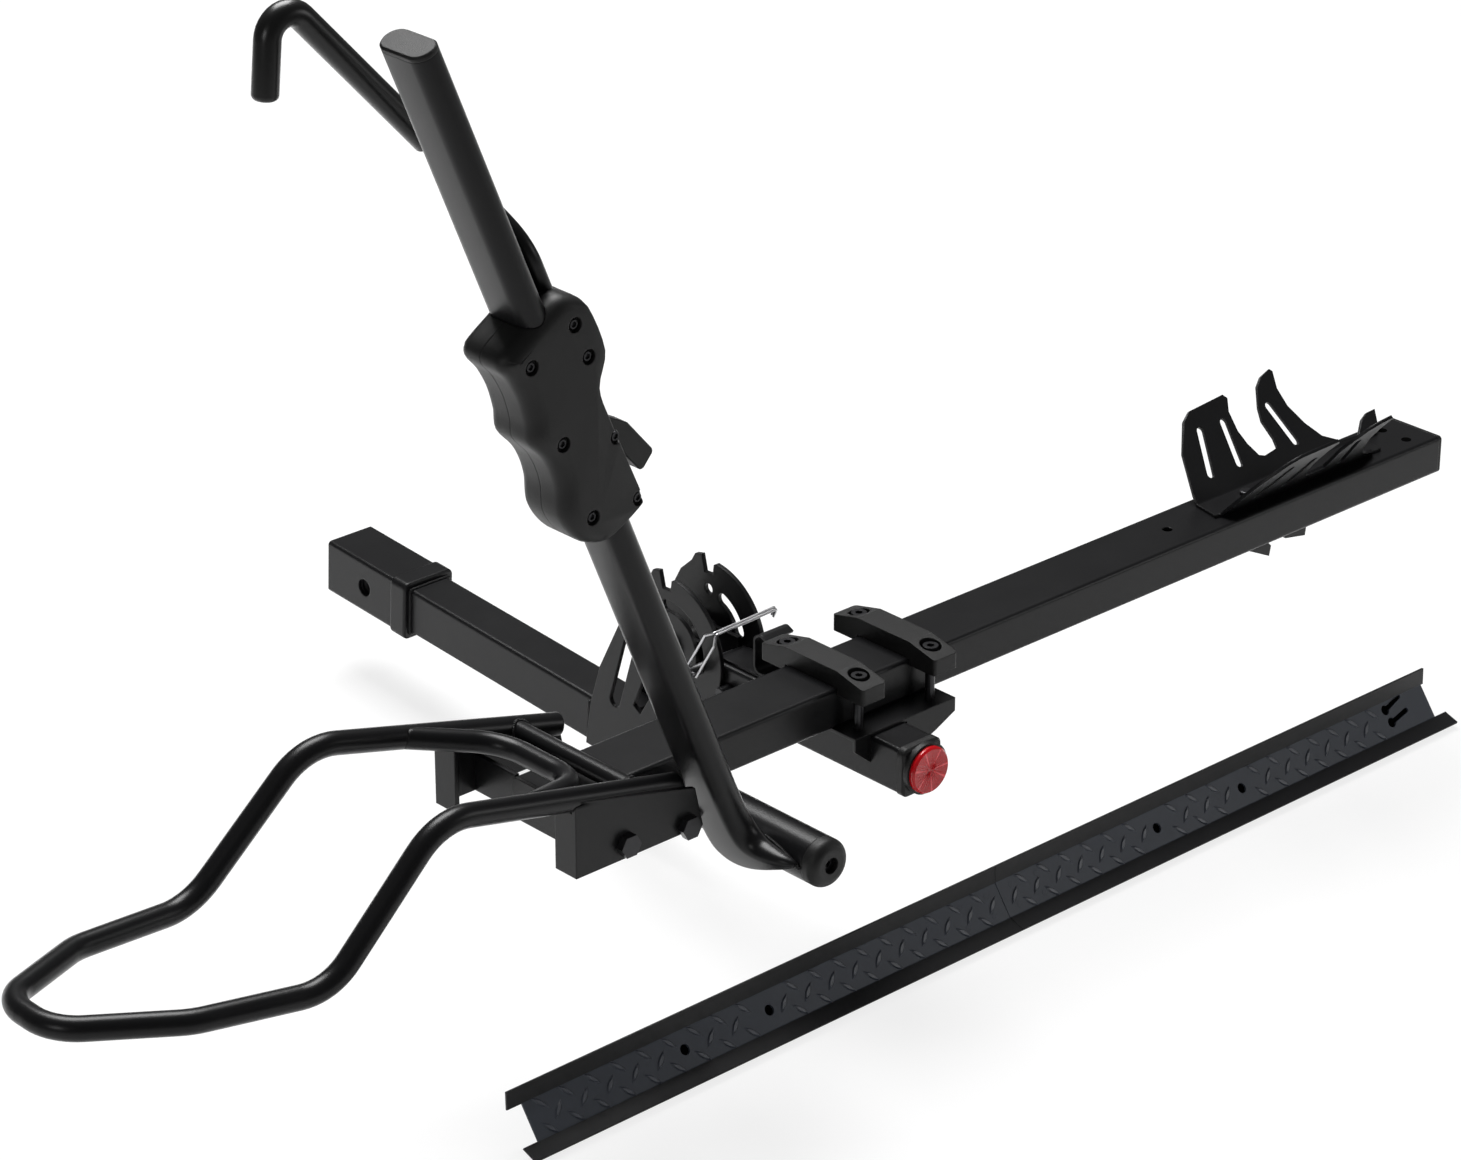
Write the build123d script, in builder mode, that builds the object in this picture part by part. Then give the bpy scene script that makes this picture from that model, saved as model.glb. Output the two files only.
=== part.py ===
"""Hitch bike rack: a one-bike platform that folds up behind a vehicle, with a loose loading ramp. Millimetres.

The origin is the centre of the hitch pin hole. +X runs along the pin, +Y into the receiver and +Z up.
The rack behind the tilt pivot rises a little. Its pieces are drawn level and then raised about the X axis.
The wheel arm's pieces are drawn upright about the arm's own pivot, leaned outwards, and raised with the rack.
"""

from build123d import *
import os
from math import asin, cos, degrees, radians, sin, sqrt

os.makedirs("parts", exist_ok=True)

# Play between pieces
running_gap = 0.05
sliding_gap = 0.3

# Angles of the whole rack and of its arm
rise_angle = 3.66
arm_lean = 22.5

# Hitch shank
receiver_size = 50.8
adapter_wall = 3.4
adapter_front = 52
adapter_back = -39
tube_corner = 3.5
pin_hole_diameter = 16.3
stinger_size = 43
stinger_wall = 3
stinger_front = 50
stinger_back = -345
collar_length = 21
collar_rim = 6.5
collar_rounding = 2.5

# Tilt plates and what goes through them
pivot_y = -405
pivot_z = 115
plate_thickness = 4
rim_radius = 63
notch_floor_radius = 52
fold_angle = 105
pivot_bolt_diameter = 12
pivot_head_height = 7
lock_pin_diameter = 9.4
lock_pin_radius = 37.6
lock_pin_angle = -6
latch_bar_diameter = 10
latch_bar_radius = rim_radius + latch_bar_diameter / 2 + sliding_gap

# Spine of the rack
spine_size = 40
spine_wall = 3
spine_centre_z = 72
spine_front = -455
spine_back = -677
cheek_thickness = 4
cheek_radius = 43

# Latch
latch_travel = 12
latch_width = 30
latch_sheet = 2.5
latch_front = -463
latch_rear = -522
latch_grip_reach = 28.2
latch_grip_height = 35.5

# Cross tube
cross_y = -591
cross_width = 60
cross_height = 35
cross_bottom = 95
cross_left = -321
cross_right = 713
cross_wall = 2.5
cap_thickness = 3

# Saddle and clamps that hold the cross tube to the spine
saddle_left = -37
saddle_right = 75
saddle_front = -536
saddle_back = -646
saddle_sheet = 3
clamp_centres = (-21, 59)
clamp_width = 26
clamp_length = 119
clamp_top = 145.5
clamp_foot = 21
clamp_slope_drop = 7
clamp_bolt_offset = 41.5
clamp_bolt_diameter = 8
clamp_head_diameter = 13
clamp_head_height = 7
clamp_recess_diameter = 18
clamp_recess_depth = 10
clamp_front = cross_y + clamp_length / 2

# Arm, its pivot and its grip
arm_pivot_x = -163
arm_pivot_z = 70
arm_plane_y = -664
arm_section_length = 50
arm_section_width = 24
arm_wall = 2.2
arm_line = -22.5
arm_top = 776
arm_bend_radius = 50
arm_foot_y = -722
sleeve_diameter = 40
sleeve_front = -622.6
sleeve_back = -738
shaft_diameter = 25
bush_diameter = 31
hook_rod_diameter = 14
hook_cover_diameter = 22

# Hoop for the rear wheel
rail_diameter = 19
rail_wall = 2
hoop_plate_spread = 83
hoop_plate_thickness = 4
hoop_plate_left = -354
hoop_plate_right = -226
hoop_plate_bottom = 98
hoop_bolt_diameter = 10
hoop_bolt_hexagon = 17
hoop_bolt_places = ((-304, 110), (-242, 103))
rail_start = (-228, 130)
rail_rise_end = (-480, 193)
brace_x = -285
brace_diameter = 16
inner_loop_diameter = 18

# Cradle for the front wheel
cradle_left = 432
cradle_right = 690
cradle_base_width = 28
cradle_sheet = 3
cradle_flare = 41
cradle_bolt_places = ((485, cross_y), (543, cross_y))
cradle_bolt_diameter = 6
cradle_hole_x = 628
spare_hole_x = 385
spare_hole_diameter = 9

# Ramp
ramp_left = -396
ramp_right = 702
ramp_edge_y = -640
ramp_edge_z = -47
ramp_roll = 50
ramp_floor = 34
ramp_width = 60
ramp_flange_rise = 9
ramp_sheet = 2
ramp_seam = 136.5
ramp_hole_diameter = 9
rivet_shank_diameter = 5
rivet_head_diameter = 8
splice_sheet = 2.5


def raise_rack(builder):
    """Turn a piece that was drawn level to the slope of the rack."""
    builder.part = builder.part.rotate(Axis.X, -rise_angle)


def lean_arm(builder):
    """Lean an upright piece about the arm's pivot, set it on the pivot and raise it with the rack."""
    leaned = builder.part.rotate(Axis.Y, -arm_lean)
    builder.part = leaned.moved(Location((arm_pivot_x, 0, arm_pivot_z))).rotate(Axis.X, -rise_angle)


def level(y, z):
    """The place, in the level drawing of the rack, of a point given in the hitch's own frame."""
    turn = radians(rise_angle)
    return (y * cos(turn) - z * sin(turn), y * sin(turn) + z * cos(turn))


def about_pivot(angle, radius):
    """A point (y, z) around the tilt pivot, its angle counted upwards from straight back."""
    return (pivot_y - radius * cos(radians(angle)), pivot_z + radius * sin(radians(angle)))


def tube_section(width, height, wall, corner):
    """Draw the section of a rectangular tube in the open sketch."""
    RectangleRounded(width, height, corner)
    RectangleRounded(width - 2 * wall, height - 2 * wall, max(corner - wall, 0.5), mode=Mode.SUBTRACT)


# Pivot, lock pin and latch bar in the level drawing
level_pivot_y, level_pivot_z = level(pivot_y, pivot_z)
level_pin_y, level_pin_z = level(*about_pivot(lock_pin_angle, lock_pin_radius))
latch_bar_drop = level_pivot_z - spine_centre_z
latch_bar_y = level_pivot_y - sqrt(latch_bar_radius**2 - latch_bar_drop**2)
latch_bar_angle = rise_angle - degrees(asin(latch_bar_drop / latch_bar_radius))
plate_inner_x = stinger_size / 2
plate_outer_x = plate_inner_x + plate_thickness
spine_top = spine_centre_z + spine_size / 2
cross_top = cross_bottom + cross_height

# The adapter is the square sleeve that fills the receiver
with BuildPart() as hitch_adapter:
    with BuildSketch(Plane.XZ.offset(-adapter_front)):
        tube_section(receiver_size, receiver_size, adapter_wall, tube_corner)
    extrude(amount=adapter_front - adapter_back)
    with BuildSketch(Plane.YZ):
        Circle(pin_hole_diameter / 2)
    extrude(amount=receiver_size, both=True, mode=Mode.SUBTRACT)
hitch_adapter.part.label = "hitch_adapter"
export_step(hitch_adapter.part, "parts/hitch_adapter.step")

# The collar is a thick rounded ring that closes the adapter's rear end
with BuildPart() as hitch_collar:
    with BuildSketch(Plane.XZ.offset(-adapter_back)):
        RectangleRounded(stinger_size + 2 * collar_rim, stinger_size + 2 * collar_rim, collar_rim)
        Rectangle(stinger_size, stinger_size, mode=Mode.SUBTRACT)
    extrude(amount=collar_length)
    collar_ends = hitch_collar.faces().filter_by(Axis.Y)
    fillet([edge for end in collar_ends for edge in end.outer_wire().edges()], collar_rounding)
hitch_collar.part.label = "hitch_collar"
export_step(hitch_collar.part, "parts/hitch_collar.step")

# The stinger is the long square tube from the receiver to the tilt plates
with BuildPart() as stinger_tube:
    with BuildSketch(Plane.XZ.offset(-stinger_front)):
        tube_section(stinger_size, stinger_size, stinger_wall, tube_corner)
    extrude(amount=stinger_front - stinger_back)
    with BuildSketch(Plane.YZ):
        Circle(pin_hole_diameter / 2)
    extrude(amount=receiver_size, both=True, mode=Mode.SUBTRACT)
stinger_tube.part.label = "stinger_tube"
export_step(stinger_tube.part, "parts/stinger_tube.step")


def arc_slot(first, last, radius, width):
    """Cut a slot with round ends that runs around the pivot from one angle to the other."""
    middle = (first + last) / 2
    inner, outer = radius - width / 2, radius + width / 2
    cap = degrees(width / 2 / radius)
    with BuildLine() as edge:
        ThreePointArc(about_pivot(first, outer), about_pivot(middle, outer), about_pivot(last, outer))
        ThreePointArc(about_pivot(last, outer), about_pivot(last + cap, radius), about_pivot(last, inner))
        ThreePointArc(about_pivot(last, inner), about_pivot(middle, inner), about_pivot(first, inner))
        ThreePointArc(about_pivot(first, inner), about_pivot(first - cap, radius), about_pivot(first, outer))
    make_face(edge.edges(), mode=Mode.SUBTRACT)


def tilt_plate(start_x, pin_slot):
    """One of the two quadrant plates. Its rear rim carries a toe under the latch bar, and its top has a notch."""
    bar_turn = radians(latch_bar_angle)
    toe_drop = latch_bar_diameter / 2 + sliding_gap / 2

    def beside_bar(radius, rise):
        """A point at this distance from the pivot along the latch bar's line, and this far above that line."""
        return (
            pivot_y - radius * cos(bar_turn) + rise * sin(bar_turn),
            pivot_z + radius * sin(bar_turn) + rise * cos(bar_turn),
        )

    with BuildPart() as plate:
        with BuildSketch(Plane.YZ.offset(start_x)):
            with BuildLine():
                rim_start = about_pivot(89, rim_radius)
                rim_end = beside_bar(sqrt(rim_radius**2 - toe_drop**2), -toe_drop)
                ThreePointArc(rim_start, about_pivot(45, rim_radius), rim_end)
                Polyline(
                    rim_end,
                    beside_bar(latch_bar_radius + 4, -toe_drop),
                    beside_bar(latch_bar_radius + 4, -toe_drop - 9),
                    (-462, 70),
                    (-400, -stinger_size / 2),
                    (-305, -stinger_size / 2),
                    (-309, 20),
                    (-319, 59),
                    (-343, 113),
                    (-364, 157),
                    about_pivot(117, 62),
                    about_pivot(111, rim_radius + 4.5),
                    about_pivot(104, rim_radius + 4.5),
                    about_pivot(103, notch_floor_radius),
                    about_pivot(92, notch_floor_radius),
                    about_pivot(91, rim_radius - 1.5),
                    rim_start,
                )
            make_face()
            with Locations((-347, 65)):
                SlotCenterToCenter(61, 13, rotation=104, mode=Mode.SUBTRACT)
            with Locations((0, 0)):
                Polygon((-374, 71), (-363, 41), (-372, 36), (-384, 58), align=None, mode=Mode.SUBTRACT)
            with Locations((pivot_y, pivot_z)):
                Circle(pivot_bolt_diameter / 2 + running_gap, mode=Mode.SUBTRACT)
            if pin_slot:
                arc_slot(lock_pin_angle, lock_pin_angle + fold_angle, lock_pin_radius, lock_pin_diameter + 0.6)
            else:
                with Locations(
                    about_pivot(lock_pin_angle, lock_pin_radius),
                    about_pivot(lock_pin_angle + fold_angle, lock_pin_radius),
                ):
                    Circle(lock_pin_diameter / 2 + running_gap, mode=Mode.SUBTRACT)
                arc_slot(21.3, 71.3, lock_pin_radius - 1.6, 11)
        extrude(amount=plate_thickness)
    return plate


tilt_plate_near = tilt_plate(-plate_outer_x, True)
tilt_plate_near.part.label = "tilt_plate_near"
export_step(tilt_plate_near.part, "parts/tilt_plate_near.step")

tilt_plate_far = tilt_plate(plate_inner_x, False)
tilt_plate_far.part.label = "tilt_plate_far"
export_step(tilt_plate_far.part, "parts/tilt_plate_far.step")

# The pivot bolt goes through both plates, with its head on the near side
with BuildPart() as tilt_pivot_bolt:
    with BuildSketch(Plane.YZ.offset(-plate_outer_x - pivot_head_height)):
        with Locations((pivot_y, pivot_z)):
            RegularPolygon(pivot_bolt_diameter * 0.79, 6, major_radius=False)
    extrude(amount=pivot_head_height)
    with BuildSketch(Plane.YZ.offset(-plate_outer_x)):
        with Locations((pivot_y, pivot_z)):
            Circle(pivot_bolt_diameter / 2)
    extrude(amount=2 * plate_outer_x + 13)
tilt_pivot_bolt.part.label = "tilt_pivot_bolt"
export_step(tilt_pivot_bolt.part, "parts/tilt_pivot_bolt.step")

with BuildPart() as tilt_pivot_nut:
    with BuildSketch(Plane.YZ.offset(plate_outer_x)):
        with Locations((pivot_y, pivot_z)):
            RegularPolygon(pivot_bolt_diameter * 0.79, 6, major_radius=False)
            Circle(pivot_bolt_diameter / 2 + running_gap, mode=Mode.SUBTRACT)
    extrude(amount=pivot_head_height + 3)
tilt_pivot_nut.part.label = "tilt_pivot_nut"
export_step(tilt_pivot_nut.part, "parts/tilt_pivot_nut.step")

# Spacer rings fill the room between each plate and the cheek inside it
cheek_outer_x = spine_size / 2 - spine_wall
with BuildPart() as pivot_spacers:
    for start_x in (-plate_inner_x, cheek_outer_x + sliding_gap / 2):
        with BuildSketch(Plane.YZ.offset(start_x)):
            with Locations((pivot_y, pivot_z)):
                Circle(pivot_bolt_diameter * 0.9)
                Circle(pivot_bolt_diameter / 2 + running_gap, mode=Mode.SUBTRACT)
        extrude(amount=plate_inner_x - cheek_outer_x - sliding_gap / 2)
pivot_spacers.part.label = "pivot_spacers"
export_step(pivot_spacers.part, "parts/pivot_spacers.step")

# The spine is the square tube that runs back from the pivot under the cross tube
with BuildPart() as spine_tube:
    with BuildSketch(Plane.XZ.offset(-spine_front)):
        with Locations((0, spine_centre_z)):
            tube_section(spine_size, spine_size, spine_wall, tube_corner)
    extrude(amount=spine_front - spine_back)
    with BuildSketch(Plane.YZ):
        with Locations((latch_bar_y - latch_travel / 2, spine_centre_z)):
            SlotCenterToCenter(latch_travel, latch_bar_diameter + 2 * sliding_gap)
    extrude(amount=spine_size, both=True, mode=Mode.SUBTRACT)
    with BuildSketch(Plane.XY.offset(spine_centre_z)):
        with Locations((0, latch_bar_y - latch_travel / 2)):
            with GridLocations(25, 0, 2, 1):
                Rectangle(3.2, latch_travel + 17)
    extrude(amount=spine_size, mode=Mode.SUBTRACT)
raise_rack(spine_tube)
spine_tube.part.label = "spine_tube"
export_step(spine_tube.part, "parts/spine_tube.step")

# Two cheeks are welded inside the spine's front end and turn on the pivot bolt
with BuildPart() as pivot_cheeks:
    with BuildSketch(Plane.YZ.offset(cheek_outer_x - cheek_thickness)):
        with Locations((level_pivot_y, level_pivot_z)):
            Circle(cheek_radius)
        with Locations((level_pivot_y, level_pivot_z + 11 + cheek_radius / 2)):
            Rectangle(2 * cheek_radius, cheek_radius, mode=Mode.SUBTRACT)
        with Locations((level_pivot_y + 20 + cheek_radius / 2, level_pivot_z)):
            Rectangle(cheek_radius, 2 * cheek_radius, mode=Mode.SUBTRACT)
        with Locations(((level_pivot_y + spine_front - 11) / 2, spine_centre_z)):
            Rectangle(level_pivot_y - spine_front + 11, spine_size - 2 * spine_wall - 1)
        with Locations((level_pivot_y, level_pivot_z)):
            Circle(13)
            Circle(pivot_bolt_diameter / 2 + running_gap, mode=Mode.SUBTRACT)
        with Locations((level_pin_y, level_pin_z)):
            Circle(lock_pin_diameter / 2 + running_gap, mode=Mode.SUBTRACT)
    extrude(amount=cheek_thickness)
    mirror(about=Plane.YZ)
raise_rack(pivot_cheeks)
pivot_cheeks.part.label = "pivot_cheeks"
export_step(pivot_cheeks.part, "parts/pivot_cheeks.step")

# The pivot bush keeps the cheeks apart on the bolt
with BuildPart() as pivot_bush:
    with BuildSketch(Plane.YZ.offset(cheek_thickness - cheek_outer_x)):
        with Locations((level_pivot_y, level_pivot_z)):
            Circle(pivot_bolt_diameter * 0.75)
            Circle(pivot_bolt_diameter / 2 + running_gap, mode=Mode.SUBTRACT)
    extrude(amount=2 * (cheek_outer_x - cheek_thickness))
raise_rack(pivot_bush)
pivot_bush.part.label = "pivot_bush"
export_step(pivot_bush.part, "parts/pivot_bush.step")

# The lock pin crosses the near plate and both cheeks
pin_head_x = -34
with BuildPart() as lock_pin:
    with BuildSketch(Plane.YZ.offset(pin_head_x - 6)):
        with Locations((level_pin_y, level_pin_z)):
            Circle(lock_pin_diameter / 2)
    extrude(amount=cheek_outer_x + 3 - pin_head_x + 6)
    chamfer(lock_pin.edges().filter_by(GeomType.CIRCLE), 1)
raise_rack(lock_pin)
lock_pin.part.label = "lock_pin"
export_step(lock_pin.part, "parts/lock_pin.step")

# The wire bail leaves the pin's head as a double wire, crosses over the spine and hooks down on the far side
bail_wire = 2.4
bail_rise = 50
bail_reach = 68
bail_plane = Plane(origin=(pin_head_x, level_pin_y, level_pin_z), x_dir=(1, 0, 0), z_dir=(0, -0.853, -0.521))
with BuildPart() as lock_pin_bail:
    for side in (-1, 1):
        leg_offset = side * (lock_pin_diameter / 2 + bail_wire / 2 + sliding_gap)
        with BuildLine(bail_plane):
            bail_path = FilletPolyline(
                (0, 0, leg_offset),
                (-0.01, bail_rise - 8, leg_offset),
                (2, bail_rise, side * bail_wire / 2),
                (bail_reach, bail_rise + 4, side * bail_wire / 2),
                (bail_reach + 2, bail_rise - 7, side * bail_wire / 2),
                radius=(2.5, 2.5, 2.5),
            )
        with BuildSketch(Plane(origin=bail_path @ 0, z_dir=bail_path % 0)):
            Circle(bail_wire / 2)
        sweep(path=bail_path)
raise_rack(lock_pin_bail)
lock_pin_bail.part.label = "lock_pin_bail"
export_step(lock_pin_bail.part, "parts/lock_pin_bail.step")

# The latch slide lies on the spine, and two ears reach down through it to the latch bar
latch_base_z = spine_top + sliding_gap
with BuildPart() as latch_slide:
    with BuildSketch(Plane.XY.offset(latch_base_z)):
        with Locations((0, (latch_front + latch_rear) / 2)):
            RectangleRounded(latch_width, latch_front - latch_rear, 4)
    extrude(amount=latch_sheet)
    with BuildSketch(Plane.YZ.offset(12.5 - latch_sheet / 2)):
        with Locations((latch_bar_y, (latch_base_z + spine_centre_z) / 2)):
            Rectangle(15, latch_base_z - spine_centre_z)
        with Locations((latch_bar_y, spine_centre_z)):
            Circle(7.5)
    extrude(amount=latch_sheet)
    mirror(about=Plane.YZ)
    with BuildSketch(Plane.YZ):
        with Locations((latch_bar_y, spine_centre_z)):
            Circle(latch_bar_diameter / 2 + running_gap)
    extrude(amount=spine_size, both=True, mode=Mode.SUBTRACT)
raise_rack(latch_slide)
latch_slide.part.label = "latch_slide"
export_step(latch_slide.part, "parts/latch_slide.step")

# The latch grip is a strap curled into a finger hook, whose tip stops short of the clamp bars when it is pulled
grip_base_z = latch_base_z + latch_sheet * 1.5
grip_front_y = clamp_front + latch_grip_reach
grip_tip_y = clamp_front + latch_travel + sliding_gap + latch_sheet / 2
with BuildPart() as latch_grip:
    with BuildSketch(Plane.YZ.offset(-latch_width / 2)):
        with BuildLine():
            FilletPolyline(
                (latch_rear + 2, grip_base_z),
                (grip_front_y, grip_base_z),
                (grip_front_y, grip_base_z + latch_grip_height - 4.5),
                (grip_tip_y + 7.5, grip_base_z + latch_grip_height),
                (grip_tip_y, grip_base_z + latch_grip_height - 3.5),
                radius=(7, 6, 5),
            )
        trace(line_width=latch_sheet)
    extrude(amount=latch_width)
raise_rack(latch_grip)
latch_grip.part.label = "latch_grip"
export_step(latch_grip.part, "parts/latch_grip.step")

# The latch bar lies on the toes of both plates
with BuildPart() as latch_bar:
    with BuildSketch(Plane.YZ.offset(-plate_outer_x - 5)):
        with Locations((latch_bar_y, spine_centre_z)):
            Circle(latch_bar_diameter / 2)
    extrude(amount=2 * plate_outer_x + 10)
    chamfer(latch_bar.edges().filter_by(GeomType.CIRCLE), 1)
raise_rack(latch_bar)
latch_bar.part.label = "latch_bar"
export_step(latch_bar.part, "parts/latch_bar.step")

# The plug closes the spine's rear end and carries the reflector
plug_depth = 11
with BuildPart() as spine_plug:
    with BuildSketch(Plane.XZ.offset(-spine_back)):
        with Locations((0, spine_centre_z)):
            RectangleRounded(spine_size + 3, spine_size + 3, 7)
    extrude(amount=plug_depth - 3)
    chamfer(spine_plug.faces().sort_by(Axis.Y)[0].edges(), 2)
    with BuildSketch(Plane.XZ.offset(-spine_back + plug_depth - 3)):
        with Locations((0, spine_centre_z + 1)):
            Circle(22)
    extrude(amount=5)
    with BuildSketch(Plane.XZ.offset(-spine_back)):
        with Locations((0, spine_centre_z)):
            RectangleRounded(spine_size - 2 * spine_wall - 0.2, spine_size - 2 * spine_wall - 0.2, 1)
    extrude(amount=-18)
raise_rack(spine_plug)
spine_plug.part.label = "spine_plug"
export_step(spine_plug.part, "parts/spine_plug.step")

with BuildPart() as reflector_lens:
    with BuildSketch(Plane.XZ.offset(-spine_back + plug_depth + 2)):
        with Locations((0, spine_centre_z + 1)):
            Circle(20)
    extrude(amount=5)
    chamfer(reflector_lens.faces().sort_by(Axis.Y)[0].edges(), 2)
raise_rack(reflector_lens)
reflector_lens.part.label = "reflector_lens"
export_step(reflector_lens.part, "parts/reflector_lens.step")

# The cross tube carries the bike from wheel to wheel
with BuildPart() as cross_tube:
    with BuildSketch(Plane.YZ.offset(cross_left + cap_thickness)):
        with Locations((cross_y, cross_bottom + cross_height / 2)):
            tube_section(cross_width, cross_height, cross_wall, tube_corner)
    extrude(amount=cross_right - cross_left - 2 * cap_thickness)
    with BuildSketch(Plane.XY.offset(cross_top)):
        with Locations((spare_hole_x, cross_y), (cradle_hole_x, cross_y)):
            Circle(spare_hole_diameter / 2)
        with Locations(*cradle_bolt_places):
            Circle(cradle_bolt_diameter / 2)
    extrude(amount=-cross_wall * 2, mode=Mode.SUBTRACT)
    with BuildSketch(Plane.XZ.offset(-cross_y)):
        with Locations(*hoop_bolt_places):
            Circle(hoop_bolt_diameter / 2 + running_gap)
    extrude(amount=cross_width, both=True, mode=Mode.SUBTRACT)
raise_rack(cross_tube)
cross_tube.part.label = "cross_tube"
export_step(cross_tube.part, "parts/cross_tube.step")

with BuildPart() as cross_tube_caps:
    for end_x, inwards in ((cross_left, 1), (cross_right, -1)):
        with BuildSketch(Plane.YZ.offset(end_x)):
            with Locations((cross_y, cross_bottom + cross_height / 2)):
                RectangleRounded(cross_width, cross_height, tube_corner)
        extrude(amount=inwards * cap_thickness)
        with BuildSketch(Plane.YZ.offset(end_x)):
            with Locations((cross_y, cross_bottom + cross_height / 2)):
                Rectangle(cross_width - 2 * cross_wall - 1, cross_height - 2 * cross_wall - 1)
        extrude(amount=inwards * 12)
raise_rack(cross_tube_caps)
cross_tube_caps.part.label = "cross_tube_caps"
export_step(cross_tube_caps.part, "parts/cross_tube_caps.step")

# The saddle is a folded plate between the spine and the cross tube, with flanges that fit over the spine
with BuildPart() as saddle:
    with BuildSketch(Plane.XY.offset(spine_top)):
        with Locations(((saddle_left + saddle_right) / 2, (saddle_front + saddle_back) / 2)):
            Rectangle(saddle_right - saddle_left, saddle_front - saddle_back)
    extrude(amount=cross_bottom - spine_top)
    for flange_y in (saddle_front - saddle_sheet, saddle_back):
        with BuildSketch(Plane.XZ.offset(-flange_y)):
            with BuildLine():
                Polyline(
                    (saddle_left, spine_top),
                    (saddle_left, spine_top - 9),
                    (-spine_size / 2, spine_top - 23),
                    (-spine_size / 2, spine_top),
                    close=True,
                )
            make_face()
            with BuildLine():
                Polyline(
                    (saddle_right, spine_top),
                    (saddle_right, spine_top - 9),
                    (saddle_right - 21, spine_top - 19),
                    (spine_size / 2, spine_top - 33),
                    (spine_size / 2, spine_top),
                    close=True,
                )
            make_face()
        extrude(amount=-saddle_sheet)
    with BuildSketch(Plane.XY.offset(spine_top)):
        with Locations(*[(x, cross_y + side * clamp_bolt_offset) for x in clamp_centres for side in (-1, 1)]):
            Circle(clamp_bolt_diameter / 2 + running_gap)
    extrude(amount=cross_bottom - spine_top, mode=Mode.SUBTRACT)
raise_rack(saddle)
saddle.part.label = "saddle"
export_step(saddle.part, "parts/saddle.step")

# Two clamp bars lie across the cross tube, with ends that reach down over its edges
with BuildPart() as clamp_bars:
    for centre_x in clamp_centres:
        with BuildSketch(Plane.YZ.offset(centre_x - clamp_width / 2)):
            with BuildLine():
                half = clamp_length / 2
                Polyline(
                    (cross_y - half, clamp_top - clamp_foot),
                    (cross_y - half, clamp_top - clamp_slope_drop),
                    (cross_y - cross_width / 2, clamp_top),
                    (cross_y + cross_width / 2, clamp_top),
                    (clamp_front, clamp_top - clamp_slope_drop),
                    (clamp_front, clamp_top - clamp_foot),
                    (cross_y + cross_width / 2 + sliding_gap, clamp_top - clamp_foot),
                    (cross_y + cross_width / 2 + sliding_gap, cross_top),
                    (cross_y - cross_width / 2 - sliding_gap, cross_top),
                    (cross_y - cross_width / 2 - sliding_gap, clamp_top - clamp_foot),
                    close=True,
                )
            make_face()
        extrude(amount=clamp_width)
    fillet(clamp_bars.edges().filter_by(Axis.Z).group_by(Axis.Y)[0], 3)
    fillet(clamp_bars.edges().filter_by(Axis.Z).group_by(Axis.Y)[-1], 3)
    with BuildSketch(Plane.XY.offset(clamp_top)):
        with Locations(*[(x, cross_y + side * clamp_bolt_offset) for x in clamp_centres for side in (-1, 1)]):
            Circle(clamp_bolt_diameter / 2 + sliding_gap)
    extrude(amount=spine_top - clamp_top, mode=Mode.SUBTRACT)
    with BuildSketch(Plane.XY.offset(clamp_top)):
        with Locations(*[(x, cross_y + side * clamp_bolt_offset) for x in clamp_centres for side in (-1, 1)]):
            Circle(clamp_recess_diameter / 2)
    extrude(amount=-clamp_recess_depth, mode=Mode.SUBTRACT)
raise_rack(clamp_bars)
clamp_bars.part.label = "clamp_bars"
export_step(clamp_bars.part, "parts/clamp_bars.step")

# Four socket bolts pull the clamp bars down to the saddle
with BuildPart() as clamp_bolts:
    bolt_places = [(x, cross_y + side * clamp_bolt_offset) for x in clamp_centres for side in (-1, 1)]
    with BuildSketch(Plane.XY.offset(clamp_top - clamp_recess_depth)):
        with Locations(*bolt_places):
            Circle(clamp_head_diameter / 2)
    extrude(amount=clamp_head_height)
    with BuildSketch(Plane.XY.offset(clamp_top - clamp_recess_depth + clamp_head_height)):
        with Locations(*bolt_places):
            RegularPolygon(3.4, 6)
    extrude(amount=-4, mode=Mode.SUBTRACT)
    with BuildSketch(Plane.XY.offset(clamp_top - clamp_recess_depth)):
        with Locations(*bolt_places):
            Circle(clamp_bolt_diameter / 2)
    extrude(amount=spine_top - clamp_top + clamp_recess_depth)
raise_rack(clamp_bolts)
clamp_bolts.part.label = "clamp_bolts"
export_step(clamp_bolts.part, "parts/clamp_bolts.step")

# The rail of the rear wheel's hoop is one bent tube
rail_corners = ((-243, 68.7, 133.75), (-480, 79.5, 193), (-589, 84, 95), (-701, 71, 108), (-790, 28, 118))
near_side = [(x, cross_y - spread, z) for x, spread, z in rail_corners]
far_side = [(x, cross_y + spread, z) for x, spread, z in reversed(rail_corners)]


def hoop_sweep(diameter):
    """The hoop's rail as a round bar of this diameter."""
    with BuildPart() as bar:
        with BuildLine():
            rail = FilletPolyline(*near_side, *far_side, radius=(55, 55, 60, 36, 36, 60, 55, 55))
        with BuildSketch(Plane(origin=rail @ 0, z_dir=rail % 0)):
            Circle(diameter / 2)
        sweep(path=rail)
    return bar.part


with BuildPart() as hoop_rail:
    add(hoop_sweep(rail_diameter))
    add(hoop_sweep(rail_diameter - 2 * rail_wall), mode=Mode.SUBTRACT)
hoop_bar = hoop_sweep(rail_diameter)
raise_rack(hoop_rail)
hoop_rail.part.label = "hoop_rail"
export_step(hoop_rail.part, "parts/hoop_rail.step")

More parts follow.
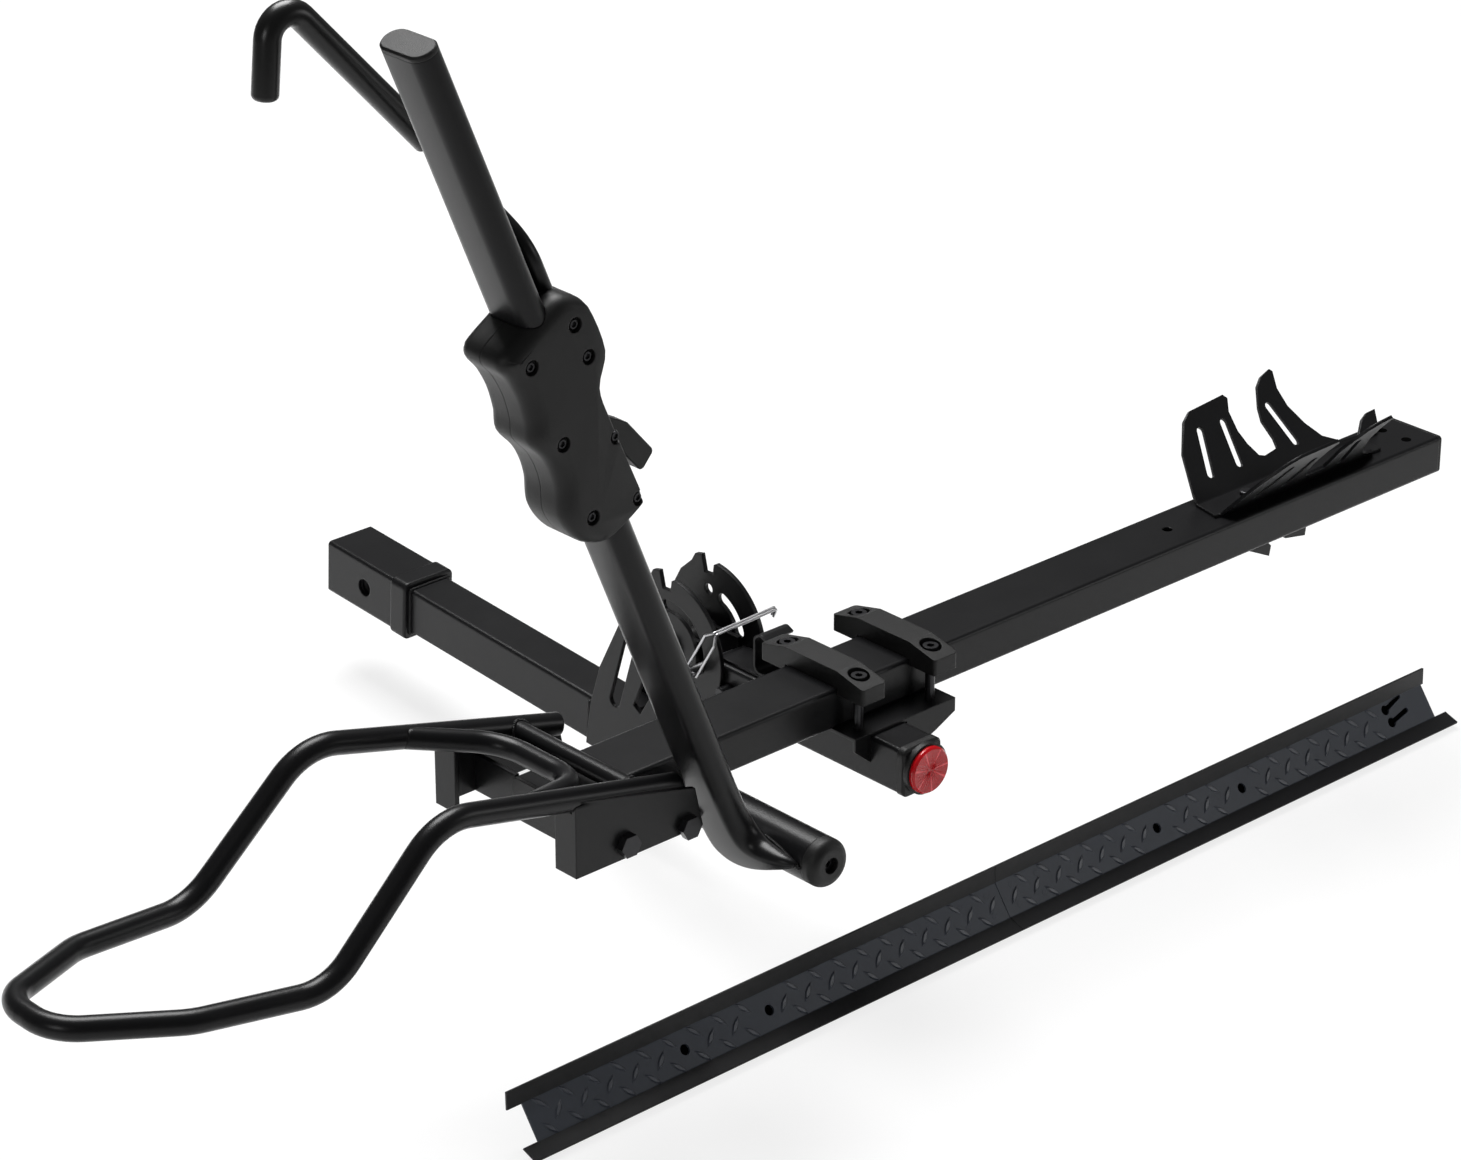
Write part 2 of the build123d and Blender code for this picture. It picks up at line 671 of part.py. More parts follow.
# The inner loop springs from the rails and bulges towards the bike
rail_slope = (rail_rise_end[1] - rail_start[1]) / (rail_rise_end[0] - rail_start[0])
with BuildPart() as hoop_inner_loop:
    with BuildLine():
        inner_corners = [
            (x, cross_y + spread, rail_start[1] + (x - rail_start[0]) * rail_slope)
            for x, spread in ((-392, -75), (-318, -44), (-318, 44), (-392, 75))
        ]
        inner_path = FilletPolyline(*inner_corners, radius=(38, 38))
    with BuildSketch(Plane(origin=inner_path @ 0, z_dir=inner_path % 0)):
        Circle(inner_loop_diameter / 2)
    sweep(path=inner_path)
    add(hoop_bar, mode=Mode.SUBTRACT)
hoop_inner_loop.part = Part(hoop_inner_loop.part.solids().sort_by(SortBy.VOLUME)[-1].wrapped)
inner_bar = hoop_inner_loop.part
raise_rack(hoop_inner_loop)
hoop_inner_loop.part.label = "hoop_inner_loop"
export_step(hoop_inner_loop.part, "parts/hoop_inner_loop.step")

# The brace joins the rails above the cross tube
brace_reach = 71
with BuildPart() as hoop_brace:
    with BuildSketch(Plane.XZ.offset(-cross_y - brace_reach)):
        with Locations((brace_x, rail_start[1] + (brace_x - rail_start[0]) * rail_slope)):
            Circle(brace_diameter / 2)
    extrude(amount=2 * brace_reach)
    add(hoop_bar, mode=Mode.SUBTRACT)
hoop_brace.part = Part(hoop_brace.part.solids().sort_by(SortBy.VOLUME)[-1].wrapped)
raise_rack(hoop_brace)
hoop_brace.part.label = "hoop_brace"
export_step(hoop_brace.part, "parts/hoop_brace.step")


end_flange = 24
end_flange_top = 152


def hoop_plate(side):
    """One of the two folded plates that carry the hoop, with its flange turned in at the outer end."""
    with BuildPart() as plate:
        outer_y = cross_y + side * hoop_plate_spread
        with BuildSketch(Plane.XZ.offset(-outer_y)):
            with BuildLine():
                Polyline(
                    (hoop_plate_left, hoop_plate_bottom),
                    (hoop_plate_left, 163),
                    (hoop_plate_right - 8, 132.8),
                    (hoop_plate_right, hoop_plate_bottom),
                    close=True,
                )
            make_face()
            with Locations(*hoop_bolt_places):
                Circle(hoop_bolt_diameter / 2 + running_gap, mode=Mode.SUBTRACT)
        extrude(amount=side * hoop_plate_thickness)
        with BuildSketch(Plane.YZ.offset(hoop_plate_left)):
            with Locations((outer_y - side * end_flange / 2, (hoop_plate_bottom + end_flange_top) / 2)):
                Rectangle(end_flange, end_flange_top - hoop_plate_bottom)
        extrude(amount=hoop_plate_thickness)
        add(hoop_bar, mode=Mode.SUBTRACT)
        add(inner_bar, mode=Mode.SUBTRACT)
    plate.part = Part(plate.part.solids().sort_by(SortBy.VOLUME)[-1].wrapped)
    raise_rack(plate)
    return plate


hoop_plate_near = hoop_plate(-1)
hoop_plate_near.part.label = "hoop_plate_near"
export_step(hoop_plate_near.part, "parts/hoop_plate_near.step")

hoop_plate_far = hoop_plate(1)
hoop_plate_far.part.label = "hoop_plate_far"
export_step(hoop_plate_far.part, "parts/hoop_plate_far.step")

# Webs fill the room between the cross tube and the hoop plates
web_reach = hoop_plate_spread - hoop_plate_thickness - cross_width / 2
with BuildPart() as hoop_webs:
    for side in (-1, 1):
        with BuildSketch(Plane.YZ.offset(cross_left + 3)):
            with Locations((cross_y + side * (cross_width / 2 + web_reach / 2), 114)):
                Rectangle(web_reach, 32)
        extrude(amount=4)
raise_rack(hoop_webs)
hoop_webs.part.label = "hoop_webs"
export_step(hoop_webs.part, "parts/hoop_webs.step")

# Two long bolts go through the plates and the cross tube
with BuildPart() as hoop_bolts:
    for x, z in hoop_bolt_places:
        with BuildSketch(Plane.XZ.offset(-cross_y + hoop_plate_spread)):
            with Locations((x, z)):
                RegularPolygon(hoop_bolt_hexagon / 2, 6, major_radius=False)
        extrude(amount=6.4)
        with BuildSketch(Plane.XZ.offset(-cross_y + hoop_plate_spread)):
            with Locations((x, z)):
                Circle(hoop_bolt_diameter / 2)
        extrude(amount=-2 * hoop_plate_spread - 10)
raise_rack(hoop_bolts)
hoop_bolts.part.label = "hoop_bolts"
export_step(hoop_bolts.part, "parts/hoop_bolts.step")

with BuildPart() as hoop_nuts:
    for x, z in hoop_bolt_places:
        with BuildSketch(Plane.XZ.offset(-cross_y - hoop_plate_spread)):
            with Locations((x, z)):
                RegularPolygon(hoop_bolt_hexagon / 2, 6, major_radius=False)
                Circle(hoop_bolt_diameter / 2 + running_gap, mode=Mode.SUBTRACT)
        extrude(amount=-8)
raise_rack(hoop_nuts)
hoop_nuts.part.label = "hoop_nuts"
export_step(hoop_nuts.part, "parts/hoop_nuts.step")

# The cradle is one sheet: a flat base on the cross tube, and fins that flare out on both sides
flare = radians(cradle_flare)
wall_plane = Plane(
    origin=(0, cross_y + cradle_base_width / 2, cross_top),
    x_dir=(1, 0, 0),
    z_dir=(0, -cos(flare), sin(flare)),
)
with BuildPart() as cradle:
    with BuildSketch(Plane.XY.offset(cross_top)):
        with Locations(((cradle_left + cradle_right) / 2, cross_y)):
            Rectangle(cradle_right - cradle_left, cradle_base_width)
        with Locations((cradle_hole_x, cross_y)):
            Circle(spare_hole_diameter / 2, mode=Mode.SUBTRACT)
        with Locations(*cradle_bolt_places):
            Circle(cradle_bolt_diameter / 2, mode=Mode.SUBTRACT)
    extrude(amount=cradle_sheet)
    with BuildSketch(wall_plane):
        with BuildLine():
            Polyline(
                (437, 0), (441, 17), (451, 51), (469, 73), (478, 79), (528, 84), (527, 75), (524, 54),
                (532, 25), (558, 24), (561, 62), (566, 76), (580, 90), (594, 92), (592, 72), (598, 49),
                (612, 20), (640, 4), (652, 6), (669, 21), (686, 24), (681, 7), (676, 0), close=True,
            )
        make_face()
    extrude(amount=cradle_sheet)
    mirror(about=Plane.XZ.offset(-cross_y))
raise_rack(cradle)
cradle.part.label = "cradle"
export_step(cradle.part, "parts/cradle.step")

# The arm's pivot tube hangs on a web under the cross tube and holds the shaft
mount_front = cross_y + 22
mount_length = 52
with BuildPart() as arm_pivot_mount:
    with BuildSketch(Plane.XZ.offset(-mount_front)):
        with Locations((arm_pivot_x, arm_pivot_z)):
            Circle(sleeve_diameter / 2)
        with Locations((arm_pivot_x, (arm_pivot_z + cross_bottom) / 2)):
            Rectangle(12, cross_bottom - arm_pivot_z)
        with Locations((arm_pivot_x, arm_pivot_z)):
            Circle(shaft_diameter / 2, mode=Mode.SUBTRACT)
    extrude(amount=mount_length)
raise_rack(arm_pivot_mount)
arm_pivot_mount.part.label = "arm_pivot_mount"
export_step(arm_pivot_mount.part, "parts/arm_pivot_mount.step")

with BuildPart() as arm_pivot_shaft:
    with BuildSketch(Plane.XZ.offset(-mount_front)):
        with Locations((arm_pivot_x, arm_pivot_z)):
            Circle(shaft_diameter / 2)
    extrude(amount=mount_front - sleeve_back)
    with BuildSketch(Plane.XZ.offset(-sleeve_back)):
        with Locations((arm_pivot_x, arm_pivot_z)):
            Circle(4)
    extrude(amount=-24, mode=Mode.SUBTRACT)
raise_rack(arm_pivot_shaft)
arm_pivot_shaft.part.label = "arm_pivot_shaft"
export_step(arm_pivot_shaft.part, "parts/arm_pivot_shaft.step")

with BuildPart() as arm_pivot_bolt:
    with BuildSketch(Plane.XZ.offset(-sleeve_back)):
        with Locations((arm_pivot_x, arm_pivot_z)):
            Circle(6.5)
    extrude(amount=8)
    with BuildSketch(Plane.XZ.offset(-sleeve_back + 8)):
        with Locations((arm_pivot_x, arm_pivot_z)):
            RegularPolygon(3.4, 6)
    extrude(amount=-4, mode=Mode.SUBTRACT)
    with BuildSketch(Plane.XZ.offset(-sleeve_back)):
        with Locations((arm_pivot_x, arm_pivot_z)):
            Circle(3.95)
    extrude(amount=-22)
raise_rack(arm_pivot_bolt)
arm_pivot_bolt.part.label = "arm_pivot_bolt"
export_step(arm_pivot_bolt.part, "parts/arm_pivot_bolt.step")

# The sleeve turns on the shaft with two bushes pressed in
with BuildPart() as arm_sleeve:
    with BuildSketch(Plane.XZ.offset(-sleeve_front)):
        Circle(sleeve_diameter / 2)
        Circle(bush_diameter / 2, mode=Mode.SUBTRACT)
    extrude(amount=sleeve_front - sleeve_back)
lean_arm(arm_sleeve)
arm_sleeve.part.label = "arm_sleeve"
export_step(arm_sleeve.part, "parts/arm_sleeve.step")

bush_length = 25
with BuildPart() as arm_bushes:
    for start_y in (sleeve_front, sleeve_back + bush_length):
        with BuildSketch(Plane.XZ.offset(-start_y)):
            Circle(bush_diameter / 2)
            Circle(shaft_diameter / 2 + running_gap, mode=Mode.SUBTRACT)
        extrude(amount=bush_length)
lean_arm(arm_bushes)
arm_bushes.part.label = "arm_bushes"
export_step(arm_bushes.part, "parts/arm_bushes.step")

# A domed cap closes the sleeve's rear end around the bolt's head
with BuildPart() as arm_pivot_cap:
    with BuildSketch(Plane.XZ.offset(-sleeve_back)):
        Circle(sleeve_diameter / 2)
    extrude(amount=13)
    fillet(arm_pivot_cap.edges().sort_by(Axis.Y)[0], 8)
    with BuildSketch(Plane.XZ.offset(-sleeve_back)):
        Circle(6.5 + sliding_gap)
    extrude(amount=13, mode=Mode.SUBTRACT)
lean_arm(arm_pivot_cap)
arm_pivot_cap.part.label = "arm_pivot_cap"
export_step(arm_pivot_cap.part, "parts/arm_pivot_cap.step")

# The arm is a flat-oval tube that bends at its foot and is welded along the sleeve's side


def oval_bar(length, width, top):
    """The arm as a solid bar of this flat-oval section, from its top to its foot."""
    with BuildPart() as bar:
        with BuildLine():
            arm_path = FilletPolyline(
                (arm_line, arm_plane_y, top),
                (arm_line, arm_plane_y, 0),
                (arm_line, arm_foot_y, 0),
                radius=arm_bend_radius,
            )
        with BuildSketch(Plane.XY.offset(top)):
            with Locations((arm_line, arm_plane_y)):
                SlotOverall(length, width, rotation=90)
        sweep(path=arm_path)
    return bar.part


with BuildPart() as arm_tube:
    add(oval_bar(arm_section_length, arm_section_width, arm_top))
    add(oval_bar(arm_section_length - 2 * arm_wall, arm_section_width - 2 * arm_wall, arm_top), mode=Mode.SUBTRACT)
    with BuildSketch(Plane.XZ.offset(-sleeve_front)):
        Circle(sleeve_diameter / 2 + running_gap)
    extrude(amount=sleeve_front - sleeve_back, mode=Mode.SUBTRACT)
arm_tube.part = Part(arm_tube.part.solids().sort_by(SortBy.VOLUME)[-1].wrapped)
lean_arm(arm_tube)
arm_tube.part.label = "arm_tube"
export_step(arm_tube.part, "parts/arm_tube.step")

with BuildPart() as arm_top_cap:
    with BuildSketch(Plane.XY.offset(arm_top)):
        with Locations((arm_line, arm_plane_y)):
            SlotOverall(arm_section_length, arm_section_width, rotation=90)
    extrude(amount=4)
    chamfer(arm_top_cap.faces().sort_by(Axis.Z)[-1].edges(), 1.5)
    with BuildSketch(Plane.XY.offset(arm_top)):
        with Locations((arm_line, arm_plane_y)):
            SlotOverall(arm_section_length - 2 * arm_wall - 0.4, arm_section_width - 2 * arm_wall - 0.4, rotation=90)
    extrude(amount=-15)
lean_arm(arm_top_cap)
arm_top_cap.part.label = "arm_top_cap"
export_step(arm_top_cap.part, "parts/arm_top_cap.step")

# The hook rod leaves the grip beside the arm, crosses to the rack's middle and bends over the wheel
rod_side = arm_line + 32
rod_corners = (
    (rod_side, arm_plane_y, 484),
    (rod_side, arm_plane_y, 585),
    (arm_line + 21, cross_y, 652),
    (arm_line - 41, cross_y, 842),
    (arm_line - 79, cross_y, 764),
)
with BuildPart() as hook_rod:
    with BuildLine():
        rod_path = FilletPolyline(*rod_corners, radius=(40, 40, 16))
    with BuildSketch(Plane(origin=rod_path @ 0, z_dir=rod_path % 0)):
        Circle(hook_rod_diameter / 2)
    sweep(path=rod_path)
upright_hook_rod = hook_rod.part
lean_arm(hook_rod)
hook_rod.part.label = "hook_rod"
export_step(hook_rod.part, "parts/hook_rod.step")

# A soft cover sheathes the rod from just past its second bend to its free end
with BuildPart() as hook_cover:
    with BuildLine():
        cover_path = FilletPolyline(
            (arm_line + 14.8, cross_y, 671),
            (arm_line - 41, cross_y, 842),
            (arm_line - 80, cross_y, 762),
            radius=16,
        )
    with BuildSketch(Plane(origin=cover_path @ 0, z_dir=cover_path % 0)):
        Circle(hook_cover_diameter / 2)
    sweep(path=cover_path)
    fillet(hook_cover.edges().filter_by(GeomType.CIRCLE).sort_by(Axis.X)[0], 3)
    add(upright_hook_rod, mode=Mode.SUBTRACT)
lean_arm(hook_cover)
hook_cover.part.label = "hook_cover"
export_step(hook_cover.part, "parts/hook_cover.step")

# The grip is moulded in two halves around the arm
grip_depth = 28
trigger_pivot = (arm_line + 21.6, 418.2)
screw_places = [(22.8, 523), (23.9, 478), (-22.3, 519), (-22.3, 446.3), (20.1, 360), (-22.3, 376)]
screw_places = [(arm_line + side, up) for side, up in screw_places]
screw_head_depth = 3


def grip_half(outwards):
    """One half of the grip. It is drawn from the middle plane outwards, to the rear (-1) or to the front (1)."""
    with BuildPart() as half:
        with BuildSketch(Plane.XZ.offset(-arm_plane_y)) as outline:
            with BuildLine():
                Polyline(
                    (arm_line - 43, 537), (arm_line - 39, 544), (arm_line - 16, 550), (arm_line + 17, 556),
                    (arm_line + 33, 550), (arm_line + 41.5, 530), (arm_line + 41.5, 486), (arm_line + 25, 462),
                    (arm_line + 24, 435), (arm_line + 25.2, 385), (arm_line + 25, 356), (arm_line + 18, 349.5),
                    (arm_line - 16, 346.5),
                )
                ThreePointArc((arm_line - 16, 346.5), (arm_line - 34, 359), (arm_line - 43, 388))
                ThreePointArc((arm_line - 43, 388), (arm_line - 35.2, 424), (arm_line - 43, 459))
                ThreePointArc((arm_line - 43, 459), (arm_line - 36, 498), (arm_line - 43, 537))
            make_face()
            cusps = [v for v in outline.vertices() if v.X < arm_line - 42 and v.Y < 500]
            fillet(cusps, 5)
            corners = [v for v in outline.vertices() if v.X > arm_line + 30 or v.Y > 530]
            fillet(corners, 4)
        extrude(amount=-outwards * grip_depth)
        outer_face = half.faces().filter_by(Axis.Y).sort_by(Axis.Y)[0 if outwards < 0 else -1]
        fillet(outer_face.edges(), 3)
        with BuildSketch(Plane.XY.offset(300)):
            with Locations((arm_line, arm_plane_y)):
                SlotOverall(arm_section_length + 2 * sliding_gap, arm_section_width + 2 * sliding_gap, rotation=90)
        extrude(amount=300, mode=Mode.SUBTRACT)
        with BuildSketch(Plane.XY.offset(484)):
            with Locations((rod_side, arm_plane_y)):
                Circle(hook_rod_diameter / 2)
        extrude(amount=100, mode=Mode.SUBTRACT)
        with Locations((arm_line + 26, arm_plane_y, 405)):
            Box(22.8, 16.6, 44, mode=Mode.SUBTRACT)
        with BuildSketch(Plane.XZ.offset(-arm_plane_y)):
            with Locations(*screw_places):
                Circle(1.55)
        extrude(amount=(grip_depth if outwards < 0 else -19), mode=Mode.SUBTRACT)
        with BuildSketch(Plane.XZ.offset(-arm_plane_y)):
            with Locations(trigger_pivot):
                Circle(2)
        extrude(amount=-outwards * (grip_depth - 3), mode=Mode.SUBTRACT)
        if outwards < 0:
            with BuildSketch(Plane.XZ.offset(-arm_plane_y + grip_depth - screw_head_depth)):
                with Locations(*screw_places):
                    Circle(3.5)
            extrude(amount=screw_head_depth, mode=Mode.SUBTRACT)
    half.part = Part(half.part.solids().sort_by(SortBy.VOLUME)[-1].wrapped)
    lean_arm(half)
    return half


grip_rear = grip_half(-1)
grip_rear.part.label = "grip_rear"
export_step(grip_rear.part, "parts/grip_rear.step")

grip_front = grip_half(1)
grip_front.part.label = "grip_front"
export_step(grip_front.part, "parts/grip_front.step")

# Six screws hold the halves together
with BuildPart() as grip_screws:
    with BuildSketch(Plane.XZ.offset(-arm_plane_y + grip_depth - screw_head_depth)):
        with Locations(*screw_places):
            Circle(3.2)
    extrude(amount=2.2)
    with BuildSketch(Plane.XZ.offset(-arm_plane_y + grip_depth - screw_head_depth + 2.2)):
        with Locations(*screw_places):
            RegularPolygon(1.6, 6)
    extrude(amount=-1.4, mode=Mode.SUBTRACT)
    with BuildSketch(Plane.XZ.offset(-arm_plane_y + grip_depth - screw_head_depth)):
        with Locations(*screw_places):
            Circle(1.5)
    extrude(amount=-42)
lean_arm(grip_screws)
grip_screws.part.label = "grip_screws"
export_step(grip_screws.part, "parts/grip_screws.step")

with BuildPart() as trigger_pin:
    with BuildSketch(Plane.XZ.offset(-arm_plane_y - grip_depth + 3)):
        with Locations(trigger_pivot):
            Circle(2)
    extrude(amount=2 * grip_depth - 6)
lean_arm(trigger_pin)
trigger_pin.part.label = "trigger_pin"
export_step(trigger_pin.part, "parts/trigger_pin.step")

# The trigger turns on its pin, and squeezing it towards the grip frees the hook
with BuildPart() as release_trigger:
    with BuildSketch(Plane.XZ.offset(-arm_plane_y - 8)) as lever:
        with BuildLine():
            Polyline(
                (arm_line + 21.6, 424.2), (arm_line + 33, 421), (arm_line + 46, 405), (arm_line + 58.2, 368),
                (arm_line + 41.6, 360), (arm_line + 33, 385), (arm_line + 21.6, 412.2), close=True,
            )
        make_face()
        fillet([v for v in lever.vertices() if v.X > arm_line + 40], 4)
        with Locations(trigger_pivot):
            Circle(6)
            Circle(2 + running_gap, mode=Mode.SUBTRACT)
    extrude(amount=16)
    chamfer(release_trigger.faces().filter_by(Axis.Y).edges().filter_by(GeomType.LINE), 1)
lean_arm(release_trigger)
release_trigger.part.label = "release_trigger"
export_step(release_trigger.part, "parts/release_trigger.step")

# The ramp is a loose shallow channel in two lengths, rolled towards the rear as it stands
roll = radians(ramp_roll)
lengthways_down = (0, -cos(roll), -sin(roll))
ramp_middle = (ramp_edge_y - 11.76, ramp_edge_z - 28)
fold_half = (ramp_floor - ramp_sheet) / 2
edge_half = (ramp_width - ramp_sheet) / 2


def ramp_plane(x):
    """The plane across the ramp at this x, seen from the right: local x crosses the floor, local y faces out."""
    return Plane(origin=(x, *ramp_middle), x_dir=lengthways_down, z_dir=(-1, 0, 0))


floor_plane = Plane(origin=(0, *ramp_middle), x_dir=(1, 0, 0), z_dir=(0, -sin(roll), cos(roll)))
rivet_places = [(ramp_seam + along, across) for along in (-45, -15, 15, 45) for across in (-9, 9)]


def ramp_length(start_x, end_x, hole_places, open_end):
    """One length of the ramp, with its floor set back at the open end."""
    with BuildPart() as channel:
        with BuildSketch(ramp_plane(end_x)):
            with BuildLine():
                Polyline((-edge_half, ramp_flange_rise), (-fold_half, 0), (fold_half, 0), (edge_half, ramp_flange_rise))
            trace(line_width=ramp_sheet)
        extrude(amount=end_x - start_x)
        with BuildSketch(floor_plane.offset(-5)):
            with Locations(*[(x, 0) for x in hole_places]):
                Circle(ramp_hole_diameter / 2)
            with Locations(*rivet_places):
                Circle(rivet_shank_diameter / 2)
            with Locations((open_end, 0)):
                Rectangle(30, 2 * fold_half)
        extrude(amount=10, mode=Mode.SUBTRACT)
    return channel


ramp_channel_left = ramp_length(ramp_left, ramp_seam, (-203, -94), ramp_left)
ramp_channel_left.part.label = "ramp_channel_left"
export_step(ramp_channel_left.part, "parts/ramp_channel_left.step")

ramp_channel_right = ramp_length(ramp_seam + 0.5, ramp_right, (369, 470), ramp_right)
ramp_channel_right.part.label = "ramp_channel_right"
export_step(ramp_channel_right.part, "parts/ramp_channel_right.step")

# A splice plate under the seam is riveted to both lengths
with BuildPart() as ramp_splice:
    with BuildSketch(floor_plane.offset(-ramp_sheet / 2)):
        with Locations((ramp_seam, 0)):
            RectangleRounded(120, 30, 4)
        with Locations(*rivet_places):
            Circle(rivet_shank_diameter / 2, mode=Mode.SUBTRACT)
    extrude(amount=-splice_sheet)
ramp_splice.part.label = "ramp_splice"
export_step(ramp_splice.part, "parts/ramp_splice.step")

with BuildPart() as ramp_rivets:
    with BuildSketch(floor_plane.offset(ramp_sheet / 2)):
        with Locations(*rivet_places):
            Circle(rivet_head_diameter / 2)
    extrude(amount=1.2)
    with BuildSketch(floor_plane.offset(ramp_sheet / 2)):
        with Locations(*rivet_places):
            Circle(rivet_shank_diameter / 2)
    extrude(amount=-ramp_sheet - splice_sheet)
ramp_rivets.part.label = "ramp_rivets"
export_step(ramp_rivets.part, "parts/ramp_rivets.step")

# Two button bolts hold the cradle down
with BuildPart() as cradle_bolts:
    with BuildSketch(Plane.XY.offset(cross_top + cradle_sheet)):
        with Locations(*cradle_bolt_places):
            Circle(cradle_bolt_diameter)
    extrude(amount=3.5)
    fillet(cradle_bolts.edges().filter_by(GeomType.CIRCLE).group_by(Axis.Z)[-1], 1.5)
    with BuildSketch(Plane.XY.offset(cross_top + cradle_sheet)):
        with Locations(*cradle_bolt_places):
            Circle(cradle_bolt_diameter / 2)
    extrude(amount=-16)
raise_rack(cradle_bolts)
cradle_bolts.part.label = "cradle_bolts"
export_step(cradle_bolts.part, "parts/cradle_bolts.step")
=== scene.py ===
"""A one-bike hitch rack with its loose loading ramp, finished in satin black, on a pale studio floor."""

import math

import bmesh
import bpy
from mathutils import Matrix, Vector


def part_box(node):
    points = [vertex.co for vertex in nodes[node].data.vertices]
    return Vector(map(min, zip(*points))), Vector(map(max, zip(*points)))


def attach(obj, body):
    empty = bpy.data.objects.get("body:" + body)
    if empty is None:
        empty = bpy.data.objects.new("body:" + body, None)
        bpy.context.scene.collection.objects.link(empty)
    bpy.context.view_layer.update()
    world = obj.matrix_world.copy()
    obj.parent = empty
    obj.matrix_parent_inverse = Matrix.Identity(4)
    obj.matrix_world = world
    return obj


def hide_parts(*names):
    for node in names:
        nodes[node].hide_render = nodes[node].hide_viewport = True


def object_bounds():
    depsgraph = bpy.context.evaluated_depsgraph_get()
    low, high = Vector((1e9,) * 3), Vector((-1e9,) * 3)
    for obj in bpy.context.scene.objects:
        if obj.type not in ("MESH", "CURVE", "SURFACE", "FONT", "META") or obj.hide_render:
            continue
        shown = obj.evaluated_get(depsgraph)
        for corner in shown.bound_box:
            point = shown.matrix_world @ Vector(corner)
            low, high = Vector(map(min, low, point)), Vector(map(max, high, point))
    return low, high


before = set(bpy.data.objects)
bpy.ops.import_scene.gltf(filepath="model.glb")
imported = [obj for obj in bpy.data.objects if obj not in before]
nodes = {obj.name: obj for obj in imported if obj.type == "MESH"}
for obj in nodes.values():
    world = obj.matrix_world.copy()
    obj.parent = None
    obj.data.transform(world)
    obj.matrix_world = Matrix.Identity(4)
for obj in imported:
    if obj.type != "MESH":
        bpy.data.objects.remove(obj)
cad_low, cad_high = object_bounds()

# The view is the photograph's: a long lens from the rear left of the rack, looking well down on it.
# The picture leans a little, so the camera is rolled about its own line of sight.
camera_heading = math.radians(46.246)
camera_dip = math.radians(27.88)
camera_roll = math.radians(-2.792)
camera_place = Vector((-2.3465, -2.8983, 1.9826))
focal_pixels = 4678
photo_width = 1461
sensor_width = 36


def in_scene(name, data):
    """A new object in the scene."""
    thing = bpy.data.objects.new(name, data)
    bpy.context.scene.collection.objects.link(thing)
    return thing


def turned(first, second, third):
    """The turn that lays x, y and z along these directions."""
    return Matrix((first, second, third)).transposed().to_4x4()


sight = Vector((
    math.cos(camera_heading) * math.cos(camera_dip),
    math.sin(camera_heading) * math.cos(camera_dip),
    -math.sin(camera_dip),
))
level_right = sight.cross(Vector((0, 0, 1))).normalized()
level_down = sight.cross(level_right)
picture_right = math.cos(camera_roll) * level_right + math.sin(camera_roll) * level_down
picture_down = -math.sin(camera_roll) * level_right + math.cos(camera_roll) * level_down

camera_data = bpy.data.cameras.new("camera")
camera_data.sensor_fit = "HORIZONTAL"
camera_data.sensor_width = sensor_width
camera_data.lens = sensor_width * focal_pixels / photo_width
camera = in_scene("camera", camera_data)
camera.matrix_world = Matrix.Translation(camera_place) @ turned(picture_right, -picture_down, -sight)
bpy.context.scene.camera = camera
bpy.context.scene.view_settings.view_transform = "Standard"

# The studio is a wide white floor under white surroundings.
# It stays almost white to the camera and keeps a faint shadow of the rack.
floor_reach = 30
floor_clearance = 0.004
floor_glow_share = 0.8
studio_white = (0.93, 0.93, 0.93, 1)
air_white = (1, 1, 1, 1)
fill_strength = 0.13


def put(tree, kind, *links, **values):
    """Add a node, set its named values, and link or set the given inputs in turn."""
    node = tree.nodes.new(kind)
    for name, value in values.items():
        setattr(node, name, value)
    for place, source in links:
        if hasattr(source, "is_output"):
            tree.links.new(source, node.inputs[place])
        else:
            node.inputs[place].default_value = source
    return node


def times(tree, first, second):
    """The product of two values."""
    return put(tree, "ShaderNodeMath", (0, first), (1, second), operation="MULTIPLY").outputs[0]


floor_z = cad_low.z - floor_clearance
floor_corners = [(x, y, floor_z) for x, y in ((-floor_reach, -floor_reach), (floor_reach, -floor_reach),
                                              (floor_reach, floor_reach), (-floor_reach, floor_reach))]
floor_mesh = bpy.data.meshes.new("studio_floor")
floor_mesh.from_pydata(floor_corners, [], [(0, 1, 2, 3)])
studio_floor = in_scene("studio_floor", floor_mesh)

floor_paint = bpy.data.materials.new("floor_paint")
floor_paint.use_nodes = True
floor_tree = floor_paint.node_tree
floor_tree.nodes.clear()
floor_matt = put(floor_tree, "ShaderNodeBsdfDiffuse", ("Color", studio_white))
floor_glow = put(floor_tree, "ShaderNodeEmission")
floor_rays = put(floor_tree, "ShaderNodeLightPath")
floor_share = times(floor_tree, floor_rays.outputs["Is Camera Ray"], floor_glow_share)
floor_blend = put(floor_tree, "ShaderNodeMixShader", (0, floor_share), (1, floor_matt.outputs[0]),
                  (2, floor_glow.outputs[0]))
put(floor_tree, "ShaderNodeOutputMaterial", ("Surface", floor_blend.outputs[0]))
floor_mesh.materials.append(floor_paint)

world = bpy.data.worlds.new("studio_air")
bpy.context.scene.world = world
world.use_nodes = True
world_tree = world.node_tree
world_tree.nodes.clear()
world_fill = put(world_tree, "ShaderNodeBackground", ("Color", air_white), ("Strength", fill_strength))
world_white = put(world_tree, "ShaderNodeBackground", ("Color", air_white))
world_rays = put(world_tree, "ShaderNodeLightPath")
world_blend = put(world_tree, "ShaderNodeMixShader", (0, world_rays.outputs["Is Camera Ray"]),
                  (1, world_fill.outputs[0]), (2, world_white.outputs[0]))
put(world_tree, "ShaderNodeOutputWorld", ("Surface", world_blend.outputs[0]))

